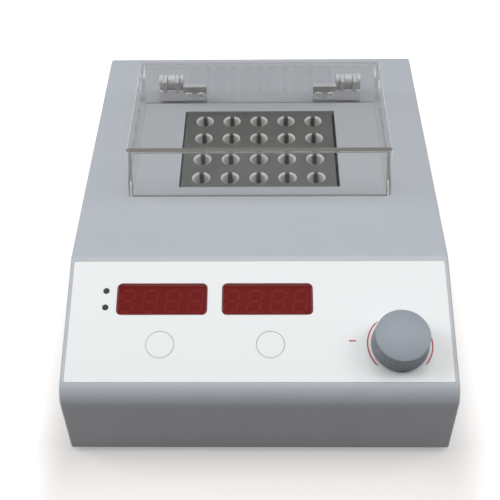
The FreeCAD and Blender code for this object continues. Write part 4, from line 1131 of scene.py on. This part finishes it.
@dataclass
class RearPanel:
    """The mains inlet with its fuse drawer, and the rocker switch."""

    inlet_x: float = 34 * MM
    height: float = 38 * MM
    screw_spacing: float = 40 * MM
    screw_head: float = 1.2 * MM
    rocker_rise: float = 4.2 * MM
    rocker_dip: float = 2.9 * MM
    rocker_half: float = 7.9 * MM
    rocker_rest: float = math.radians(8)
    ink: float = 0.04 * MM
    stroke: float = 0.4 * MM
    sign: float = 3.0 * MM
    sign_sides: int = 40

    def _print(self, name: str, mark: Shape, half: Half) -> None:
        """Prints a sign on one half of the rocker.

        Args:
            name: The piece's name.
            mark: The sign, flat on Z 0.
            half: The half that carries it.
        """
        joint = joint_named("power_switch")
        lean = math.atan((self.rocker_rise - self.rocker_dip) / self.rocker_half)
        middle = at(0, (self.rocker_rise + self.rocker_dip) / 2, half.value * self.rocker_half / 2)
        face = middle @ Matrix.Rotation(-math.pi / 2 - half.value * lean, 4, "X")
        rocker = Matrix.Translation(joint["pos_m"]) @ Matrix.Rotation(self.rocker_rest, 4, "X")
        mark.move(rocker @ face).piece(name, Body.ROCKER, SYMBOL, "overlay_film")

    def build(self) -> None:
        """Dresses the inlet and the switch, and adds their screws and the rocker's signs."""
        paint(BLACK, "mains_inlet", "switch_bezel", "fuse_drawer")
        paint(SATIN_BLACK, "power_rocker")
        paint(GLASS_TUBE, "fuse")
        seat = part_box("mains_inlet")[1].y
        out = Matrix.Rotation(-math.pi / 2, 4, "X")
        heads = []
        for side in (-1, 1):
            x = self.inlet_x + side * self.screw_spacing / 2
            heads.append(Screw(height=self.screw_head).shape(at(x, seat, self.height) @ out))
        heads[0].join(heads[1:]).piece("inlet_screws", Body.BASE, SCREW, "steel")
        ring = Shape.ring(self.sign / 2 - self.stroke, self.stroke, self.ink, self.sign_sides)
        self._print("off_sign", ring, Half.UPPER)
        self._print("on_sign", Shape.plate(self.stroke, self.sign, self.ink), Half.LOWER)


@dataclass(frozen=True)
class Lamp:
    """A soft square lamp: where it hangs, what it points at, its side and its power in watts."""

    name: str
    spot: tuple[float, float, float]
    target: tuple[float, float, float]
    size: float
    power: float

    def hang(self) -> None:
        """Puts the lamp up."""
        data = bpy.data.lights.new(self.name, "AREA")
        data.shape = "SQUARE"
        data.size = self.size
        data.energy = self.power
        lamp = bpy.data.objects.new(self.name, data)
        lamp.location = self.spot
        aim = Vector(self.target) - Vector(self.spot)
        lamp.rotation_euler = aim.to_track_quat("-Z", "Y").to_euler()
        bpy.context.scene.collection.objects.link(lamp)


@dataclass
class Studio:
    """The camera, the lamps, the pale floor and the even light all round."""

    eye: tuple[float, float, float] = (3.852 * MM, -450.356 * MM, 456.635 * MM)
    pitch: float = math.radians(43.788)
    yaw: float = math.radians(-1.315)
    roll: float = math.radians(-1.039)
    lens: float = 69.18
    sensor: float = 36.0
    lamps: tuple[Lamp, ...] = (
        Lamp("overhead", (0.1, -0.1, 1.5), (0.0, 0.0, 0.0), size=1.0, power=13.0),
        Lamp("left_soft", (-0.8, -0.05, 0.85), (0.0, 0.0, 0.05), size=0.5, power=6.0),
        Lamp("right_soft", (0.8, -0.05, 0.85), (0.0, 0.0, 0.05), size=0.5, power=4.3),
    )
    floor_colour: Colour = (0.41, 0.39, 0.375)
    floor_size: float = 6.0
    floor_gap: float = 0.1 * MM
    # The glow near the footprint and its reach paint a shadow on the floor round the object.
    painted_shadow_glow: float = 0.38
    far_glow: float = 0.74
    painted_shadow_reach: tuple[float, float] = (32 * MM, 95 * MM)
    edge_glow: float = 0.35
    edge_span: tuple[float, float] = (6.0, 30.0)
    world_fill: float = 0.05
    world_seen: float = 0.2

    def build(self) -> None:
        """Sets the stage."""
        self._camera()
        self._floor()
        self._world()
        for lamp in self.lamps:
            lamp.hang()
        bpy.context.scene.view_settings.view_transform = "Standard"

    def _camera(self) -> None:
        """Puts the camera where the photograph was taken from."""
        ahead = Vector(
            (
                math.sin(self.yaw) * math.cos(self.pitch),
                math.cos(self.yaw) * math.cos(self.pitch),
                -math.sin(self.pitch),
            )
        )
        level = Vector((math.cos(self.yaw), -math.sin(self.yaw), 0))
        upward = level.cross(ahead)
        right = math.cos(self.roll) * level + math.sin(self.roll) * upward
        above = -math.sin(self.roll) * level + math.cos(self.roll) * upward
        data = bpy.data.cameras.new("camera")
        data.sensor_width = self.sensor
        data.lens = self.lens
        camera = bpy.data.objects.new("camera", data)
        bpy.context.scene.collection.objects.link(camera)
        camera.matrix_world = at(*self.eye) @ Matrix((right, above, -ahead)).transposed().to_4x4()
        bpy.context.scene.camera = camera

    def _floor(self) -> None:
        """Lays the pale floor, which shows white, keeps the object's shadow, and has a painted
        shadow round the object's footprint.
        """
        mesh = bmesh.new()
        bmesh.ops.create_grid(mesh, x_segments=1, y_segments=1, size=self.floor_size / 2)
        data = bpy.data.meshes.new("floor")
        mesh.to_mesh(data)
        mesh.free()
        floor = bpy.data.objects.new("floor", data)
        floor.location.z = -self.floor_gap
        bpy.context.scene.collection.objects.link(floor)
        made = bpy.data.materials.new("pale_floor")
        made.use_nodes = True
        graph = Graph(made.node_tree)
        matt = graph.add("BsdfDiffuse", {"Color": (*self.floor_colour, 1.0)})
        # The glow is weaker near the object: a painted shadow.
        strength = graph.math("MULTIPLY", self._seen(graph), self._glow_with_painted_shadow(graph))
        glow = graph.add("Emission", {"Color": (1.0, 1.0, 1.0, 1.0), "Strength": strength})
        both = graph.add("AddShader", {0: matt.outputs[0], 1: glow.outputs[0]})
        graph.add("OutputMaterial", {"Surface": both.outputs[0]})
        data.materials.append(made)

    def _seen(self, graph: Graph) -> bpy.types.NodeSocket:
        """Tells what is seen directly, mirrored or through glass from other rays.

        Args:
            graph: The tree to add nodes to.

        Returns:
            A socket that is 1 for such rays and 0 for others.
        """
        path = graph.add("LightPath").outputs
        total = graph.math("MAXIMUM", path["Is Camera Ray"], path["Is Glossy Ray"])
        return graph.math("MAXIMUM", total, path["Is Transmission Ray"])

    def _glow_with_painted_shadow(self, graph: Graph) -> bpy.types.NodeSocket:
        """Gives the floor's glow, which is weaker close to the object's footprint: a painted
        shadow.

        The gap is measured in the painted shadow's reach, which is longer in front of and behind
        the object.

        Args:
            graph: The tree to add nodes to.

        Returns:
            The strength's socket.
        """
        place = graph.add("SeparateXYZ", {0: graph.add("TexCoord").outputs["Object"]}).outputs
        gaps = []
        for axis, limit, reach in zip("XY", CAD_BOX[1], self.painted_shadow_reach):
            beyond = graph.math("SUBTRACT", graph.math("ABSOLUTE", place[axis]), limit)
            share = graph.math("DIVIDE", graph.math("MAXIMUM", beyond, 0.0), reach)
            gaps.append(graph.math("POWER", share, 2.0))
        gap = graph.math("SQRT", graph.math("ADD", *gaps))
        near = graph.ease(gap, (0.0, 1.0), (self.painted_shadow_glow, self.far_glow))
        return graph.math("ADD", near, graph.ease(gap, self.edge_span, (0.0, self.edge_glow)))

    def _world(self) -> None:
        """Sets the even light that fills the shadows and shows white beyond the floor's edge."""
        world = bpy.data.worlds.new("studio")
        bpy.context.scene.world = world
        world.use_nodes = True
        graph = Graph(world.node_tree)
        strength = graph.math("MULTIPLY_ADD", self._seen(graph), self.world_seen, self.world_fill)
        shown = graph.math("MAXIMUM", strength, graph.add("LightPath").outputs["Is Camera Ray"])
        back = graph.add("Background", {"Color": (1.0, 1.0, 1.0, 1.0), "Strength": shown})
        graph.add("OutputWorld", {"Surface": back.outputs[0]})


def main() -> None:
    """Builds the sub-assemblies in order."""
    logging.basicConfig(level=logging.INFO, format="%(name)s: %(message)s")
    parts = (
        Studio(), Housing(), ControlPanel(), ControlKnob(), TubeBlock(), ClearLid(), Electronics(),
        RearPanel(),
    )
    for part in parts:
        part.build()
        log.info("built %s", type(part).__name__)
    bpy.context.view_layer.update()


if __name__ == "__main__":
    main()
